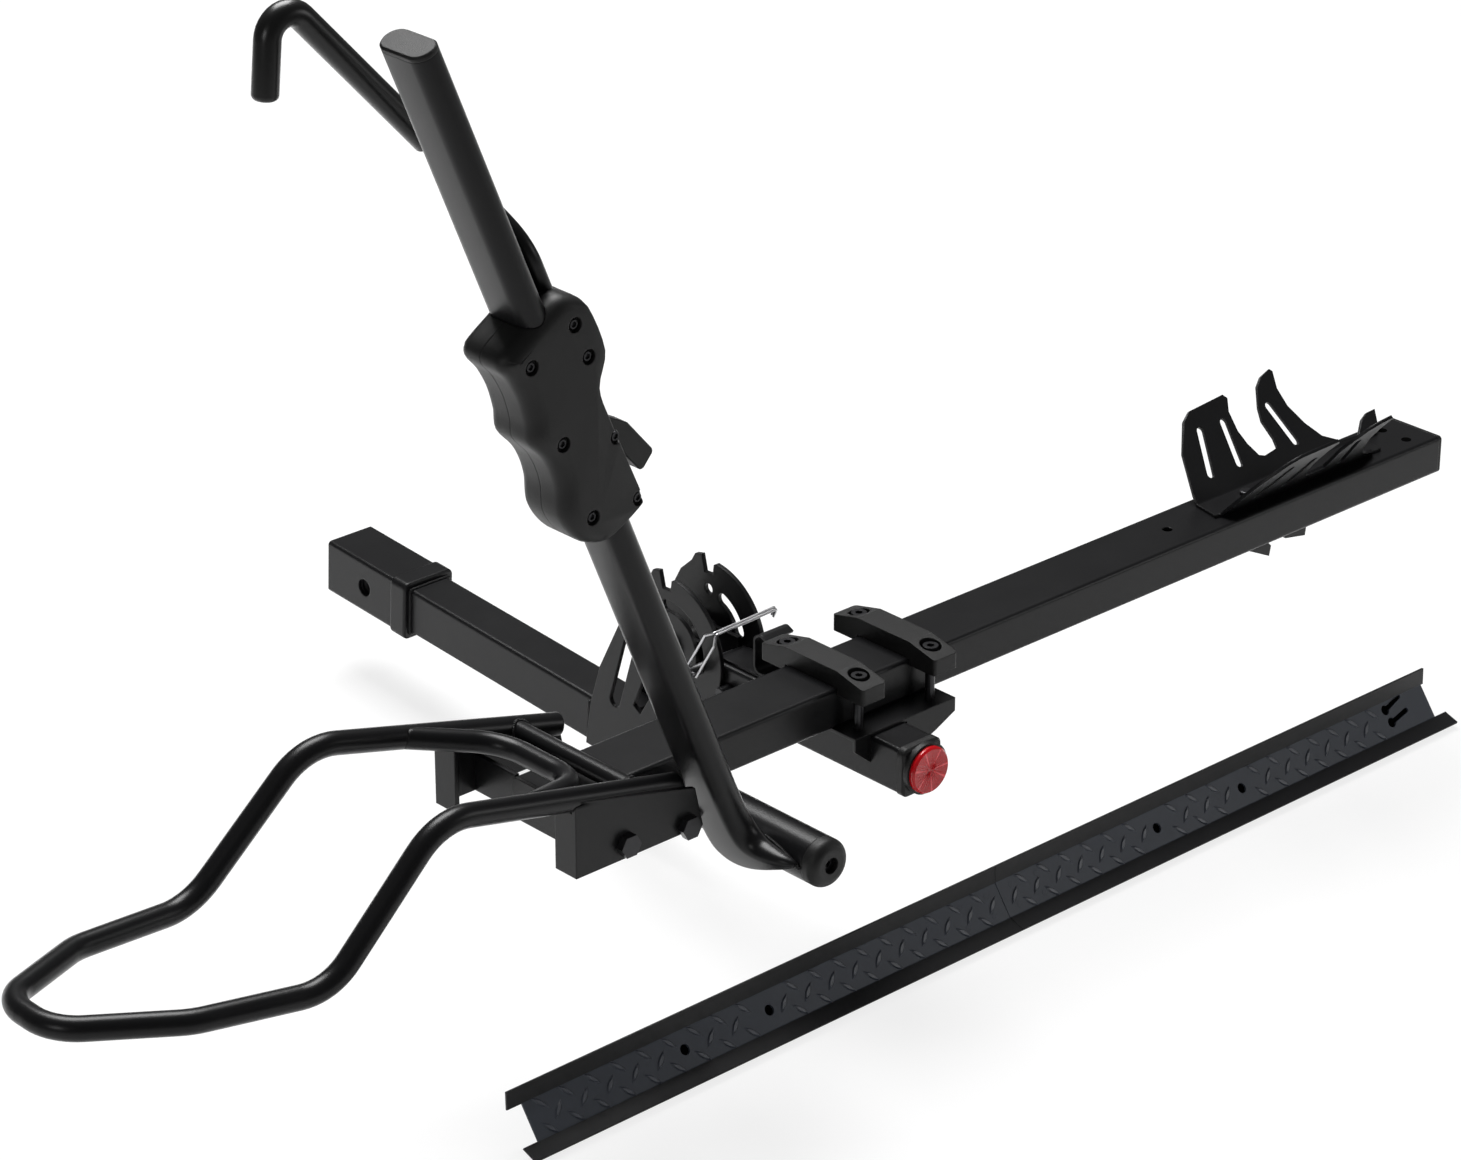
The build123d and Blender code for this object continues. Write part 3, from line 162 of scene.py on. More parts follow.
# Three soft boxes light the rack: a weak one in front on the left, a strong one overhead and a weak one
# on the right. Each is given by its place in metres, its side in metres and its power in watts.
soft_boxes = {
    "front_left_box": ((-3.4, -1.6, 1.6), 0.9, 15),
    "overhead_box": ((0.5, 0.9, 3.1), 1.9, 190),
    "right_box": ((2.6, -3.0, 1.4), 1.2, 16),
}
rack_middle = (cad_low + cad_high) / 2
for lamp_name, (place, size, power) in soft_boxes.items():
    lamp_data = bpy.data.lights.new(lamp_name, "AREA")
    lamp_data.shape = "SQUARE"
    lamp_data.size = size
    lamp_data.energy = power
    lamp = in_scene(lamp_name, lamp_data)
    facing = (rack_middle - Vector(place)).to_track_quat("-Z", "Y")
    lamp.matrix_world = Matrix.Translation(place) @ facing.to_matrix().to_4x4()

cloud_scale = 22
cloud_detail = 5
grain_detail = 2
grain_strength = 0.35


def finish_material(name, colour, roughness, metallic=0.0, specular=0.3, grain=900, grain_depth=0.0002,
                    mottling=0.12, edge_round=0.0008, coat=0.0):
    """A finish with a fine grain, slightly uneven gloss and colour, and edges that catch the light."""
    material = bpy.data.materials.new(name)
    material.use_nodes = True
    tree = material.node_tree
    place = put(tree, "ShaderNodeTexCoord").outputs["Object"]
    cloud = put(tree, "ShaderNodeTexNoise", ("Vector", place), ("Scale", cloud_scale),
                ("Detail", cloud_detail))
    gloss = put(tree, "ShaderNodeMapRange", ("Value", cloud.outputs["Fac"]),
                ("To Min", roughness * (1 - mottling)), ("To Max", roughness * (1 + mottling)))
    tint = put(tree, "ShaderNodeMix", ("Factor", cloud.outputs["Fac"]),
               ("A", (*[channel * (1 - mottling) for channel in colour], 1)),
               ("B", (*[channel * (1 + mottling) for channel in colour], 1)), data_type="RGBA")
    soft_edge = put(tree, "ShaderNodeBevel", ("Radius", edge_round), samples=4)
    skin = put(tree, "ShaderNodeTexNoise", ("Vector", place), ("Scale", grain), ("Detail", grain_detail))
    relief = put(tree, "ShaderNodeBump", ("Strength", grain_strength), ("Distance", grain_depth),
                 ("Height", skin.outputs["Fac"]), ("Normal", soft_edge.outputs["Normal"]))
    shader = tree.nodes["Principled BSDF"]
    for socket, value in (("Metallic", metallic), ("Specular IOR Level", specular), ("Coat Weight", coat)):
        shader.inputs[socket].default_value = value
    for socket, output in (("Roughness", gloss.outputs["Result"]), ("Base Color", tint.outputs["Result"]),
                           ("Normal", relief.outputs["Normal"])):
        tree.links.new(output, shader.inputs[socket])
    return material


def dress(material, *names):
    """Give CAD pieces this finish."""
    for name in names:
        mesh = nodes[name].data
        mesh.materials.clear()
        mesh.materials.append(material)


# The shank that slides into the receiver is welded from square steel tube and a thick collar.
# All of it has a satin black powder coat with a fine orange-peel skin.
powder_black = finish_material("powder_black", (0.0055, 0.0055, 0.006), 0.31, specular=0.2, edge_round=0.0016)
dress(powder_black, "hitch_adapter", "hitch_collar", "stinger_tube")

# The tilt plates are laser-cut from 4 mm plate, with the rim, notches and windows cut in one pass.
# The cheeks and the square spine that turn between them are cut and welded from the same coated steel.
dress(powder_black, "tilt_plate_near", "tilt_plate_far", "pivot_cheeks", "spine_tube")

# Fillet welds join the steel pieces. Each is a row of overlapping ripples laid along the joint,
# and the powder coat covers them like the rest.
weld_width = 0.0042
weld_ripple = 0.0016
ripple_flatness = (0.95, 1.0, 0.55)


def plain_piece(name, mesh, body):
    """A finished piece with this mesh that rides on a body."""
    piece = in_scene(name, mesh)
    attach(piece, body)
    return piece


def grown_piece(name, tree, base_mesh, body, place=Matrix()):
    """A piece with the plain mesh that a node tree makes from this one, put in place."""
    grower = in_scene(name, base_mesh)
    modifier = grower.modifiers.new("grow", "NODES")
    modifier.node_group = tree
    bpy.context.view_layer.update()
    seen = grower.evaluated_get(bpy.context.evaluated_depsgraph_get())
    mesh = bpy.data.meshes.new_from_object(seen)
    mesh.name = name
    bpy.data.objects.remove(grower)
    mesh.transform(place)
    return plain_piece(name, mesh, body)


def shape_tree(name, taken, given, sizes):
    """A node tree that takes and gives a shape and has these named sizes, with what comes into it."""
    tree = bpy.data.node_groups.new(name, "GeometryNodeTree")
    tree.interface.new_socket(taken, in_out="INPUT", socket_type="NodeSocketGeometry")
    for size_name, value in sizes:
        size = tree.interface.new_socket(size_name, in_out="INPUT", socket_type="NodeSocketFloat")
        size.default_value = value
    tree.interface.new_socket(given, in_out="OUTPUT", socket_type="NodeSocketGeometry")
    return tree, put(tree, "NodeGroupInput").outputs


def give_out(tree, copies, material):
    """Make the copies real, give them their finish and let the tree give them out."""
    real = put(tree, "GeometryNodeRealizeInstances", (0, copies.outputs[0]))
    coat = put(tree, "GeometryNodeSetMaterial", ("Geometry", real.outputs[0]), ("Material", material))
    put(tree, "NodeGroupOutput", (0, coat.outputs[0]))
    return tree


def weld_tree(material):
    """Flattened drops laid along a path, each turned to the path."""
    tree, taken = shape_tree("weld_ripples", "Path", "Bead", (("Bead width", weld_width),
                                                              ("Ripple pitch", weld_ripple)))
    path = put(tree, "GeometryNodeMeshToCurve", ("Mesh", taken["Path"]))
    steps = put(tree, "GeometryNodeResampleCurve", ("Curve", path.outputs[0]))
    steps.mode = "LENGTH"
    tree.links.new(taken["Ripple pitch"], steps.inputs["Length"])
    spots = put(tree, "GeometryNodeCurveToPoints", ("Curve", steps.outputs[0]))
    spots.mode = "EVALUATED"
    half_width = times(tree, taken["Bead width"], 0.5)
    drop = put(tree, "GeometryNodeMeshUVSphere", ("Segments", 8), ("Rings", 5), ("Radius", half_width))
    ripples = put(tree, "GeometryNodeInstanceOnPoints", ("Points", spots.outputs["Points"]),
                  ("Instance", drop.outputs["Mesh"]), ("Rotation", spots.outputs["Rotation"]),
                  ("Scale", ripple_flatness))
    return give_out(tree, ripples, material)


def path_mesh(name, runs):
    """A mesh of open polylines, to lay welds along."""
    spots, lines = [], []
    for run in runs:
        first = len(spots)
        spots.extend(run)
        lines.extend((first + step, first + step + 1) for step in range(len(run) - 1))
    mesh = bpy.data.meshes.new(name)
    mesh.from_pydata([tuple(spot) for spot in spots], lines, [])
    return mesh


def ring_round(centre, first, second, steps=32):
    """A ring of points about a centre, from two half-axes."""
    turns = [2 * math.pi * step / steps for step in range(steps)]
    return [centre + first * math.cos(turn) + second * math.sin(turn) for turn in turns]


weld_ripples = weld_tree(powder_black)
collar_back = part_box("hitch_collar")[0].y
stinger_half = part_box("stinger_tube")[1].x
plate_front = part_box("tilt_plate_near")[1].y
weld_stand_off = 0.0006
weld_bulge_share = 0.15
plate_weld_heights = (-0.020, 0.018)
collar_weld_y = collar_back - weld_width * weld_bulge_share
collar_weld = [Vector((side_x * stinger_half, collar_weld_y, side_z * stinger_half))
               for side_x, side_z in ((-1, -1), (1, -1), (1, 1), (-1, 1), (-1, -1))]
hitch_welds = [collar_weld] + [
    [Vector((side * (stinger_half + weld_stand_off), plate_front + weld_stand_off, height))
     for height in plate_weld_heights]
    for side in (-1, 1)
]
grown_piece("hitch_welds", weld_ripples, path_mesh("hitch_weld_paths", hitch_welds), "hitch")

# The rack rises a little to the rear, so its pieces are placed on level lines and then turned by that slope.
# Welds run round the brace, beside the arm's mount and along the saddle.
rack_slope = math.radians(3.66)
raised = Matrix.Rotation(-rack_slope, 4, "X")
cross_middle_y = -0.591
cross_underside = 0.095
mount_x = -0.163
mount_weld_aside = 0.0065
mount_weld_z = cross_underside - 0.0005
mount_weld_ends = (-0.570, -0.612)
saddle_weld_aside = 0.0204
saddle_weld_z = 0.0915
saddle_weld_ends = (-0.541, -0.641)
brace_x = -0.285
brace_z = 0.1442
brace_radius = 0.008
rail_radius = 0.0095
brace_reach = 0.0706


def brace_weld(side, steps=32):
    """The line round the brace where it meets a rail."""
    run = []
    for step in range(steps + 1):
        turn = 2 * math.pi * step / steps
        aside, rise = brace_radius * math.cos(turn), brace_radius * math.sin(turn)
        gap = brace_reach - math.sqrt(rail_radius ** 2 - rise ** 2)
        run.append(Vector((brace_x + aside, cross_middle_y + side * gap, brace_z + rise)))
    return run


rack_welds = [brace_weld(-1), brace_weld(1)]
for side in (-1, 1):
    mount_weld_x = mount_x + side * mount_weld_aside
    rack_welds.append([Vector((mount_weld_x, y, mount_weld_z)) for y in mount_weld_ends])
    rack_welds.append([Vector((side * saddle_weld_aside, y, saddle_weld_z)) for y in saddle_weld_ends])
rack_welds = [[raised @ spot for spot in run] for run in rack_welds]
grown_piece("rack_welds", weld_ripples, path_mesh("rack_weld_paths", rack_welds), "rack")

# The lock pin and its wire bail are drawn steel with bright zinc.
# The bolts, nuts, shaft and latch bar are turned or headed steel with black zinc.
zinc_bright = finish_material("zinc_bright", (0.42, 0.42, 0.43), 0.3, metallic=1.0, specular=0.5,
                              grain=1600, grain_depth=0.00004, edge_round=0.0004)
dress(zinc_bright, "lock_pin_bail", "lock_pin")
zinc_black = finish_material("zinc_black", (0.02, 0.02, 0.022), 0.32, metallic=0.6, specular=0.5,
                             grain=1600, grain_depth=0.00004, edge_round=0.0006)
dress(zinc_black, "tilt_pivot_bolt", "tilt_pivot_nut", "latch_bar", "clamp_bolts", "hoop_bolts", "hoop_nuts",
      "trigger_pin", "arm_pivot_bolt", "cradle_bolts", "arm_pivot_shaft")

# The saddle, latch, cross tube, arm mount, sleeve and hoop are steel tube, bar and folded sheet.
# They are welded into frames and have the same black coat.
dress(powder_black, "saddle", "latch_slide", "latch_grip", "cross_tube", "arm_pivot_mount",
      "hoop_rail", "hoop_inner_loop", "hoop_brace", "hoop_plate_near", "hoop_plate_far", "hoop_webs",
      "arm_sleeve")

# Clamp bars, caps, plugs, bushes and the release trigger are moulded in black nylon.
# The mould leaves a fine spark-eroded grain and soft edges.
nylon_black = finish_material("nylon_black", (0.008, 0.008, 0.008), 0.44, specular=0.24, grain=2600,
                              grain_depth=0.0003, edge_round=0.0012)
dress(nylon_black, "clamp_bars", "cross_tube_caps", "spine_plug", "arm_top_cap", "arm_pivot_cap",
      "pivot_bush", "arm_bushes", "pivot_spacers", "release_trigger")

# The cradle is cut from 3 mm sheet and folded: a narrow base on the cross tube and fins flared out to both
# sides. Three slots lighten each wall's fins, and the far wall's third fin has no twin on the near side.
# Two tabs hang under the tube.
cradle_base_half = 0.014
cradle_sheet = 0.003
cradle_flare = math.radians(41)
cross_top = 0.130
cradle_base_back, cradle_base_front = 0.437, 0.648
far_wall = (
    (0.437, 0), (0.4385, 0.010), (0.449, 0.047), (0.4675, 0.073), (0.479, 0.080), (0.524, 0.083),
    (0.5275, 0.0785), (0.5215, 0.067), (0.5205, 0.048), (0.5238, 0.0345), (0.530, 0.0215), (0.536, 0.0190),
    (0.5545, 0.0215), (0.5555, 0.030), (0.5525, 0.048), (0.5562, 0.0605), (0.5665, 0.0785), (0.576, 0.0855),
    (0.5895, 0.0892), (0.592, 0.0862), (0.5873, 0.0705), (0.589, 0.0525), (0.5982, 0.0325),
    (0.6101, 0.0162), (0.628, 0.006), (0.6515, 0.0045), (0.6638, 0.0163), (0.673, 0.0203), (0.6845, 0.0208),
    (0.679, 0.0063), (0.675, 0),
)
near_wall = far_wall[:24] + ((0.622, 0.0095), (0.631, 0.0078), (0.636, 0))
wall_slots = (
    ((0.4800, 0.0600), (0.4675, 0.0220)),
    ((0.5096, 0.0595), (0.5042, 0.0215)),
    ((0.5680, 0.0585), (0.5772, 0.0210)),
)
slot_half_width = 0.0038
open_hole_radius = 0.0045
cradle_hole_x = 0.628
tab_front_y = -0.612
tab_outlines = (
    ((0.459, 0.0955), (0.492, 0.0795), (0.494, 0.0890), (0.487, 0.0955)),
    ((0.5107, 0.0970), (0.5127, 0.0900), (0.5386, 0.0850), (0.5403, 0.0970)),
)


def slot_outline(first, last, half_width, steps=8):
    """A slot with round ends between two points."""
    first, last = Vector(first), Vector(last)
    run = (last - first).normalized()
    heading = math.atan2(run.y, run.x)
    outline = []
    for middle, start in ((last, heading - math.pi / 2), (first, heading + math.pi / 2)):
        for step in range(steps + 1):
            turn = start + math.pi * step / steps
            outline.append((middle.x + half_width * math.cos(turn), middle.y + half_width * math.sin(turn)))
    return outline


def round_outline(middle_x, middle_y, radius, steps=24):
    """A circle's points."""
    turns = [2 * math.pi * step / steps for step in range(steps)]
    return [(middle_x + radius * math.cos(turn), middle_y + radius * math.sin(turn)) for turn in turns]


def add_sheet(form, outline, holes, place, thickness):
    """Add a flat sheet with holes to a form: drawn in x and y, this thick along z, and then placed."""
    edges = []
    for loop in (outline, *holes):
        corners = [form.verts.new((x, y, 0)) for x, y in loop]
        edges += [form.edges.new((corners[step - 1], corners[step])) for step in range(len(corners))]
    filled = bmesh.ops.triangle_fill(form, use_beauty=True, edges=edges, normal=(0, 0, -1))
    faces = [item for item in filled["geom"] if isinstance(item, bmesh.types.BMFace)]
    raised_faces = bmesh.ops.extrude_face_region(form, geom=faces)["geom"]
    top = [item for item in raised_faces if isinstance(item, bmesh.types.BMVert)]
    bmesh.ops.translate(form, vec=(0, 0, thickness), verts=top)
    bottom = list({corner for face in faces if face.is_valid for corner in face.verts})
    bmesh.ops.transform(form, matrix=place, verts=top + bottom)


def finished_form(name, form, material, smooth_angle=30):
    """Turn a form into a mesh with outward faces and one finish."""
    bmesh.ops.recalc_face_normals(form, faces=form.faces)
    mesh = bpy.data.meshes.new(name)
    form.to_mesh(mesh)
    form.free()
    mesh.materials.append(material)
    mesh.shade_smooth()
    mesh.set_sharp_from_angle(angle=math.radians(smooth_angle))
    return mesh


def formed_piece(name, form, material, place, body, smooth_angle=30):
    """A piece made from a form, with one finish, put in place."""
    mesh = finished_form(name, form, material, smooth_angle)
    mesh.transform(place)
    return plain_piece(name, mesh, body)


def wall_place(side):
    """The frame of a flared wall: x along the tube, y up the wall, z out of its inner face."""
    up_wall = Vector((0, side * math.sin(cradle_flare), math.cos(cradle_flare)))
    inwards = Vector((0, -side * math.cos(cradle_flare), math.sin(cradle_flare)))
    foot = Matrix.Translation((0, cross_middle_y + side * cradle_base_half, cross_top))
    return foot @ turned(Vector((1, 0, 0)), up_wall, inwards)


cradle_form = bmesh.new()
cradle_near_y, cradle_far_y = cross_middle_y - cradle_base_half, cross_middle_y + cradle_base_half
cradle_base = (
    (cradle_base_back - 0.0055, cradle_near_y + 0.0015), (cradle_base_back, cradle_near_y),
    (cradle_base_front, cradle_near_y), (cradle_base_front + 0.004, cradle_far_y),
    (cradle_base_back, cradle_far_y),
)
add_sheet(cradle_form, cradle_base, [round_outline(cradle_hole_x, cross_middle_y, open_hole_radius)],
          Matrix.Translation((0, 0, cross_top)), cradle_sheet)
slot_holes = [slot_outline(first, last, slot_half_width) for first, last in wall_slots]
add_sheet(cradle_form, far_wall, slot_holes, wall_place(1), cradle_sheet)
add_sheet(cradle_form, near_wall, slot_holes, wall_place(-1), cradle_sheet)
tab_turn = turned(Vector((1, 0, 0)), Vector((0, 0, 1)), Vector((0, -1, 0)))
for tab_outline in tab_outlines:
    add_sheet(cradle_form, tab_outline, [], Matrix.Translation((0, tab_front_y, 0)) @ tab_turn, cradle_sheet)
cradle_folded = formed_piece("cradle_folded", cradle_form, powder_black, raised, "rack")
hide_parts("cradle")

# Two open holes are drilled through the cross tube's bare top near its end.
# Thin dark discs lie over them as painted shade for the holes' dark insides.
end_hole_x = 0.684
end_hole_aside = 0.014
end_hole_middle_y = -0.590
shade_sheet = 0.0002
hole_shade_form = bmesh.new()
for side in (1, -1):
    end_hole = round_outline(end_hole_x, end_hole_middle_y + side * end_hole_aside, open_hole_radius)
    add_sheet(hole_shade_form, end_hole, [], Matrix.Translation((0, 0, cross_top)), shade_sheet)
hole_painted_shade = finish_material("hole_painted_shade", (0.0015, 0.0015, 0.0015), 0.9, specular=0.0, mottling=0.05)
formed_piece("cross_tube_hole_shades", hole_shade_form, hole_painted_shade, raised, "rack")

# The arm is a flat-oval steel tube. Its foot is pressed to a taper as it bends, and is welded along the
# sleeve. Each form line gives the tube's outer edge (y, z), its inner edge (y, z), half its thickness and
# its middle's x.
arm_lean = math.radians(22.5)
arm_pivot_z = 0.070
arm_top = 0.776
arm_place = raised @ Matrix.Translation((mount_x, 0, arm_pivot_z)) @ Matrix.Rotation(-arm_lean, 4, "Y")
arm_form_lines = (
    (-0.6390, 0.0700, -0.6890, 0.0700, 0.0120, -0.0225),
    (-0.6391, 0.0400, -0.6900, 0.0480, 0.0120, -0.0225),
    (-0.6400, 0.0160, -0.6925, 0.0330, 0.0120, -0.0225),
    (-0.6450, -0.0020, -0.6960, 0.0250, 0.0118, -0.0226),
    (-0.6560, -0.0105, -0.7010, 0.0210, 0.0112, -0.0228),
    (-0.6700, -0.0125, -0.7070, 0.0195, 0.0104, -0.0230),
    (-0.6860, -0.0095, -0.7130, 0.0190, 0.0094, -0.0232),
    (-0.7010, -0.0045, -0.7195, 0.0180, 0.0080, -0.0230),
    (-0.7140, 0.0005, -0.7260, 0.0165, 0.0064, -0.0222),
    (-0.7245, 0.0040, -0.7315, 0.0140, 0.0046, -0.0208),
    (-0.7310, 0.0065, -0.7345, 0.0115, 0.0028, -0.0195),
)


def on_curve(before, first, last, after, share, bend=1.0):
    """The values at this share of the way from first to last, on a smooth curve at bend 1, a line at 0."""
    return [
        b + 0.5 * share * (c - a + share * (2 * a - 5 * b + 4 * c - d + share * (3 * (b - c) + d - a))) * bend
        + (1 - bend) * share * (c - b)
        for a, b, c, d in zip(before, first, last, after)
    ]


def eased_lines(lines, between):
    """Put more lines between the given ones, on a smooth curve through all of them."""
    result = []
    for step in range(len(lines) - 1):
        four = lines[max(step - 1, 0)], lines[step], lines[step + 1], lines[min(step + 2, len(lines) - 1)]
        result += [on_curve(*four, part / between) for part in range(between)]
    return result + [list(lines[-1])]


def flat_oval(half_long, half_short, steps=14):
    """Points round a flat oval, as (along its length, across it)."""
    straight = max(half_long - half_short, 0)
    outline = []
    for end in (1, -1):
        for step in range(steps + 1):
            turn = end * math.pi * (step / steps - 0.5)
            outline.append((end * (straight + half_short * math.cos(turn)), half_short * math.sin(turn)))
    return outline


def join_rings(form, rings):
    """Join rings of points into a skin and close its ends."""
    layers = [[form.verts.new(spot) for spot in ring] for ring in rings]
    for lower, upper in zip(layers, layers[1:]):
        for step in range(len(lower)):
            form.faces.new((lower[step - 1], lower[step], upper[step], upper[step - 1]))
    form.faces.new(layers[0])
    form.faces.new(list(reversed(layers[-1])))


arm_rings = []
for outer_y, outer_z, inner_y, inner_z, half_thick, middle_x in eased_lines(arm_form_lines, between=4):
    outer, inner = Vector((0, outer_y, outer_z)), Vector((0, inner_y, inner_z))
    middle, reach = (outer + inner) / 2, (inner - outer) / 2
    along = reach.normalized()
    half_short = min(half_thick, reach.length)
    arm_rings.append([
        middle + along * far + Vector((middle_x + near, 0, 0))
        for far, near in flat_oval(reach.length, half_short)
    ])
arm_rings.insert(0, [spot + Vector((0, 0, arm_top - arm_form_lines[0][1])) for spot in arm_rings[0]])
arm_form = bmesh.new()
join_rings(arm_form, arm_rings)
arm_formed = formed_piece("arm_formed", arm_form, powder_black, arm_place, "arm",
                          smooth_angle=50)
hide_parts("arm_tube")

foot_weld = [Vector((x, y, z)) for x, y, z in (
    (-0.0125, -0.696, 0.0165), (-0.0138, -0.706, 0.0158), (-0.0155, -0.716, 0.0142),
    (-0.0172, -0.725, 0.0122), (-0.0186, -0.732, 0.0100), (-0.0192, -0.736, 0.0070),
)]
foot_weld_path = path_mesh("arm_weld_path", [foot_weld])
grown_piece("arm_welds", weld_ripples, foot_weld_path, "arm", arm_place)

# Machine screws with domed heads and hexagon sockets, of blackened steel, hold the grip's halves together.
# One more sits in the arm's near face above its foot.
screw_head_radius = 0.0046
screw_head_height = 0.0026
screw_socket_radius = 0.0024
screw_crown_share = 0.74
screw_socket_lift = (0.4, 0.4, 0.4)
arm_screw_place = (-0.0353, -0.652, 0.042)


def leaning_copies(tree, places, shape):
    """Copies of a shape on points, each turned by its point's lean."""
    lean = put(tree, "GeometryNodeInputNamedAttribute", ("Name", "lean"), data_type="FLOAT_VECTOR")
    return put(tree, "GeometryNodeInstanceOnPoints", ("Points", places), ("Instance", shape.outputs[0]),
               ("Rotation", lean.outputs[0]))


def screw_tree(material):
    """Button heads with hexagon sockets on points, their crowns towards the points' own up."""
    tree, taken = shape_tree("button_screws", "Places", "Screws", (
        ("Head radius", screw_head_radius), ("Head height", screw_head_height),
        ("Socket radius", screw_socket_radius)))
    head = put(tree, "GeometryNodeMeshCylinder", ("Vertices", 24), ("Radius", taken["Head radius"]),
               ("Depth", taken["Head height"]))
    rounded = put(tree, "GeometryNodeScaleElements", ("Geometry", head.outputs["Mesh"]),
                  ("Selection", head.outputs["Top"]), ("Scale", screw_crown_share))
    hexagon = put(tree, "GeometryNodeMeshCylinder", ("Vertices", 6), ("Radius", taken["Socket radius"]),
                  ("Depth", taken["Head height"]))
    upwards = put(tree, "ShaderNodeCombineXYZ", ("Z", taken["Head height"]))
    part_up = put(tree, "ShaderNodeVectorMath", (0, upwards.outputs[0]), (1, screw_socket_lift),
                  operation="MULTIPLY")
    lifted = put(tree, "GeometryNodeTransform", ("Geometry", hexagon.outputs["Mesh"]),
                 ("Translation", part_up.outputs[0]))
    socketed = put(tree, "GeometryNodeMeshBoolean", (0, rounded.outputs[0]), (1, lifted.outputs[0]),
                   operation="DIFFERENCE")
    return give_out(tree, leaning_copies(tree, taken["Places"], socketed), material)


def spots_mesh(name, spots):
    """Loose points, each with the turn of what stands on it."""
    mesh = bpy.data.meshes.new(name)
    mesh.from_pydata([place for place, turn in spots], [], [])
    leans = mesh.attributes.new("lean", "FLOAT_VECTOR", "POINT")
    leans.data.foreach_set("vector", [angle for place, turn in spots for angle in turn])
    return mesh


button_screws = screw_tree(zinc_black)
rearwards_lean = (math.pi / 2, 0, 0)
sideways_lean = (0, -math.pi / 2, 0)
arm_screw_spot = spots_mesh("arm_screw_place", [(arm_screw_place, sideways_lean)])
grown_piece("arm_screw", button_screws, arm_screw_spot, "arm", arm_place)

# The grip is moulded in two nylon halves with softly rounded finger hollows, a broad flat face on each side
# and a parting line between them. The arm, the hook's rod, the trigger and the screws sit in openings.
grip_middle_y = -0.664
grip_half_depth = 0.028
grip_outline = (
    (-0.0655, 0.529), (-0.0600, 0.5375), (-0.0385, 0.5425), (-0.0055, 0.5475), (0.0085, 0.5420),
    (0.0190, 0.5270), (0.0190, 0.4860), (0.0030, 0.4625), (0.0015, 0.4350), (0.0027, 0.3850),
    (0.0025, 0.3570), (-0.0060, 0.3505), (-0.0400, 0.3475), (-0.0560, 0.3570), (-0.0635, 0.3740),
    (-0.0650, 0.3900), (-0.0590, 0.4080), (-0.0572, 0.4240), (-0.0590, 0.4400), (-0.0655, 0.4590),
    (-0.0612, 0.4740), (-0.0590, 0.4940), (-0.0610, 0.5140),
)
grip_bend = 0.9
side_rounding = 0.0150
top_rounding = 0.0125
edge_rounding = 0.0035
depth_rounding = 0.0130
rounding_steps = 8
fingers_left_of, fingers_above, fingers_below = -0.048, 0.352, 0.536
fingers_flat_below = 0.52
crown_above = 0.5
fingers_least_rounding = 0.75
seam_depth, seam_share = 0.0004, 0.03
far_half_fuller = 1.3
grip_smooth_angle = 40
grip_screw_places = (
    (0.0010, 0.5225), (0.0017, 0.4923), (-0.0445, 0.5180), (-0.0442, 0.4456), (-0.0445, 0.3752),
    (-0.0030, 0.3605), (-0.0013, 0.4187),
)
screw_recess_radius = 0.0060
screw_recess_depth = 0.0042
cut_beyond = 0.002
arm_bore_x = -0.0225
arm_bore_halves = (0.0253, 0.0123)
arm_bore_ends = (0.32, 0.58)
rod_beside = 0.0035
rod_bore_radius = 0.0072
rod_bore_ends = (0.484, 0.58)
trigger_pocket = ((-0.0079, 0.383), (0.0149, 0.383), (0.0149, 0.427), (-0.0079, 0.427))
trigger_pocket_ends = (-0.6723, -0.6557)


def eased_outline(corners, bend, between=4):
    """A closed outline through the given corners, bent this much between them."""
    result = []
    for step in range(len(corners)):
        four = [corners[(step + shift) % len(corners)] for shift in (-1, 0, 1, 2)]
        result += [on_curve(*four, part / between, bend) for part in range(between)]
    return result


def grip_ring(outline, depth, share, fuller=1.0):
    """The grip's outline at this depth, drawn in by this share of each side's rounding."""
    ring = []
    for step, (x, z) in enumerate(outline):
        before, after = outline[step - 1], outline[(step + 1) % len(outline)]
        edge = Vector((after[0] - before[0], after[1] - before[1])).normalized()
        inwards = Vector((edge.y, -edge.x))
        by_fingers = x < fingers_left_of and fingers_above < z < fingers_below
        across = inwards.x * (side_rounding if inwards.x > 0 else edge_rounding)
        if by_fingers:
            least = fingers_least_rounding
            across = side_rounding * (least + (1 - least) * max(inwards.x, 0))
        upwards = inwards.y * (top_rounding if inwards.y < 0 and z > crown_above else edge_rounding)
        if inwards.y < 0 or by_fingers:
            across, upwards = across * fuller, upwards * fuller
        if by_fingers and z < fingers_flat_below:
            upwards = 0
        ring.append(Vector((x + across * share, depth, z + upwards * share)))
    return ring


grip_profile = [(seam_depth, 0.0)]
for step in range(rounding_steps + 1):
    turn = math.pi / 2 * step / rounding_steps
    grip_profile.append((grip_half_depth - depth_rounding * (1 - math.sin(turn)), 1 - math.cos(turn)))
grip_curve = eased_outline(grip_outline, grip_bend)
grip_rings = [grip_ring(grip_curve, grip_middle_y - depth, share) for depth, share in reversed(grip_profile)]
grip_rings.append(grip_ring(grip_curve, grip_middle_y, seam_share))
grip_rings += [grip_ring(grip_curve, grip_middle_y + depth, share, far_half_fuller)
               for depth, share in grip_profile]
grip_form = bmesh.new()
join_rings(grip_form, grip_rings)
grip_mesh = finished_form("grip_moulded", grip_form, nylon_black, grip_smooth_angle)

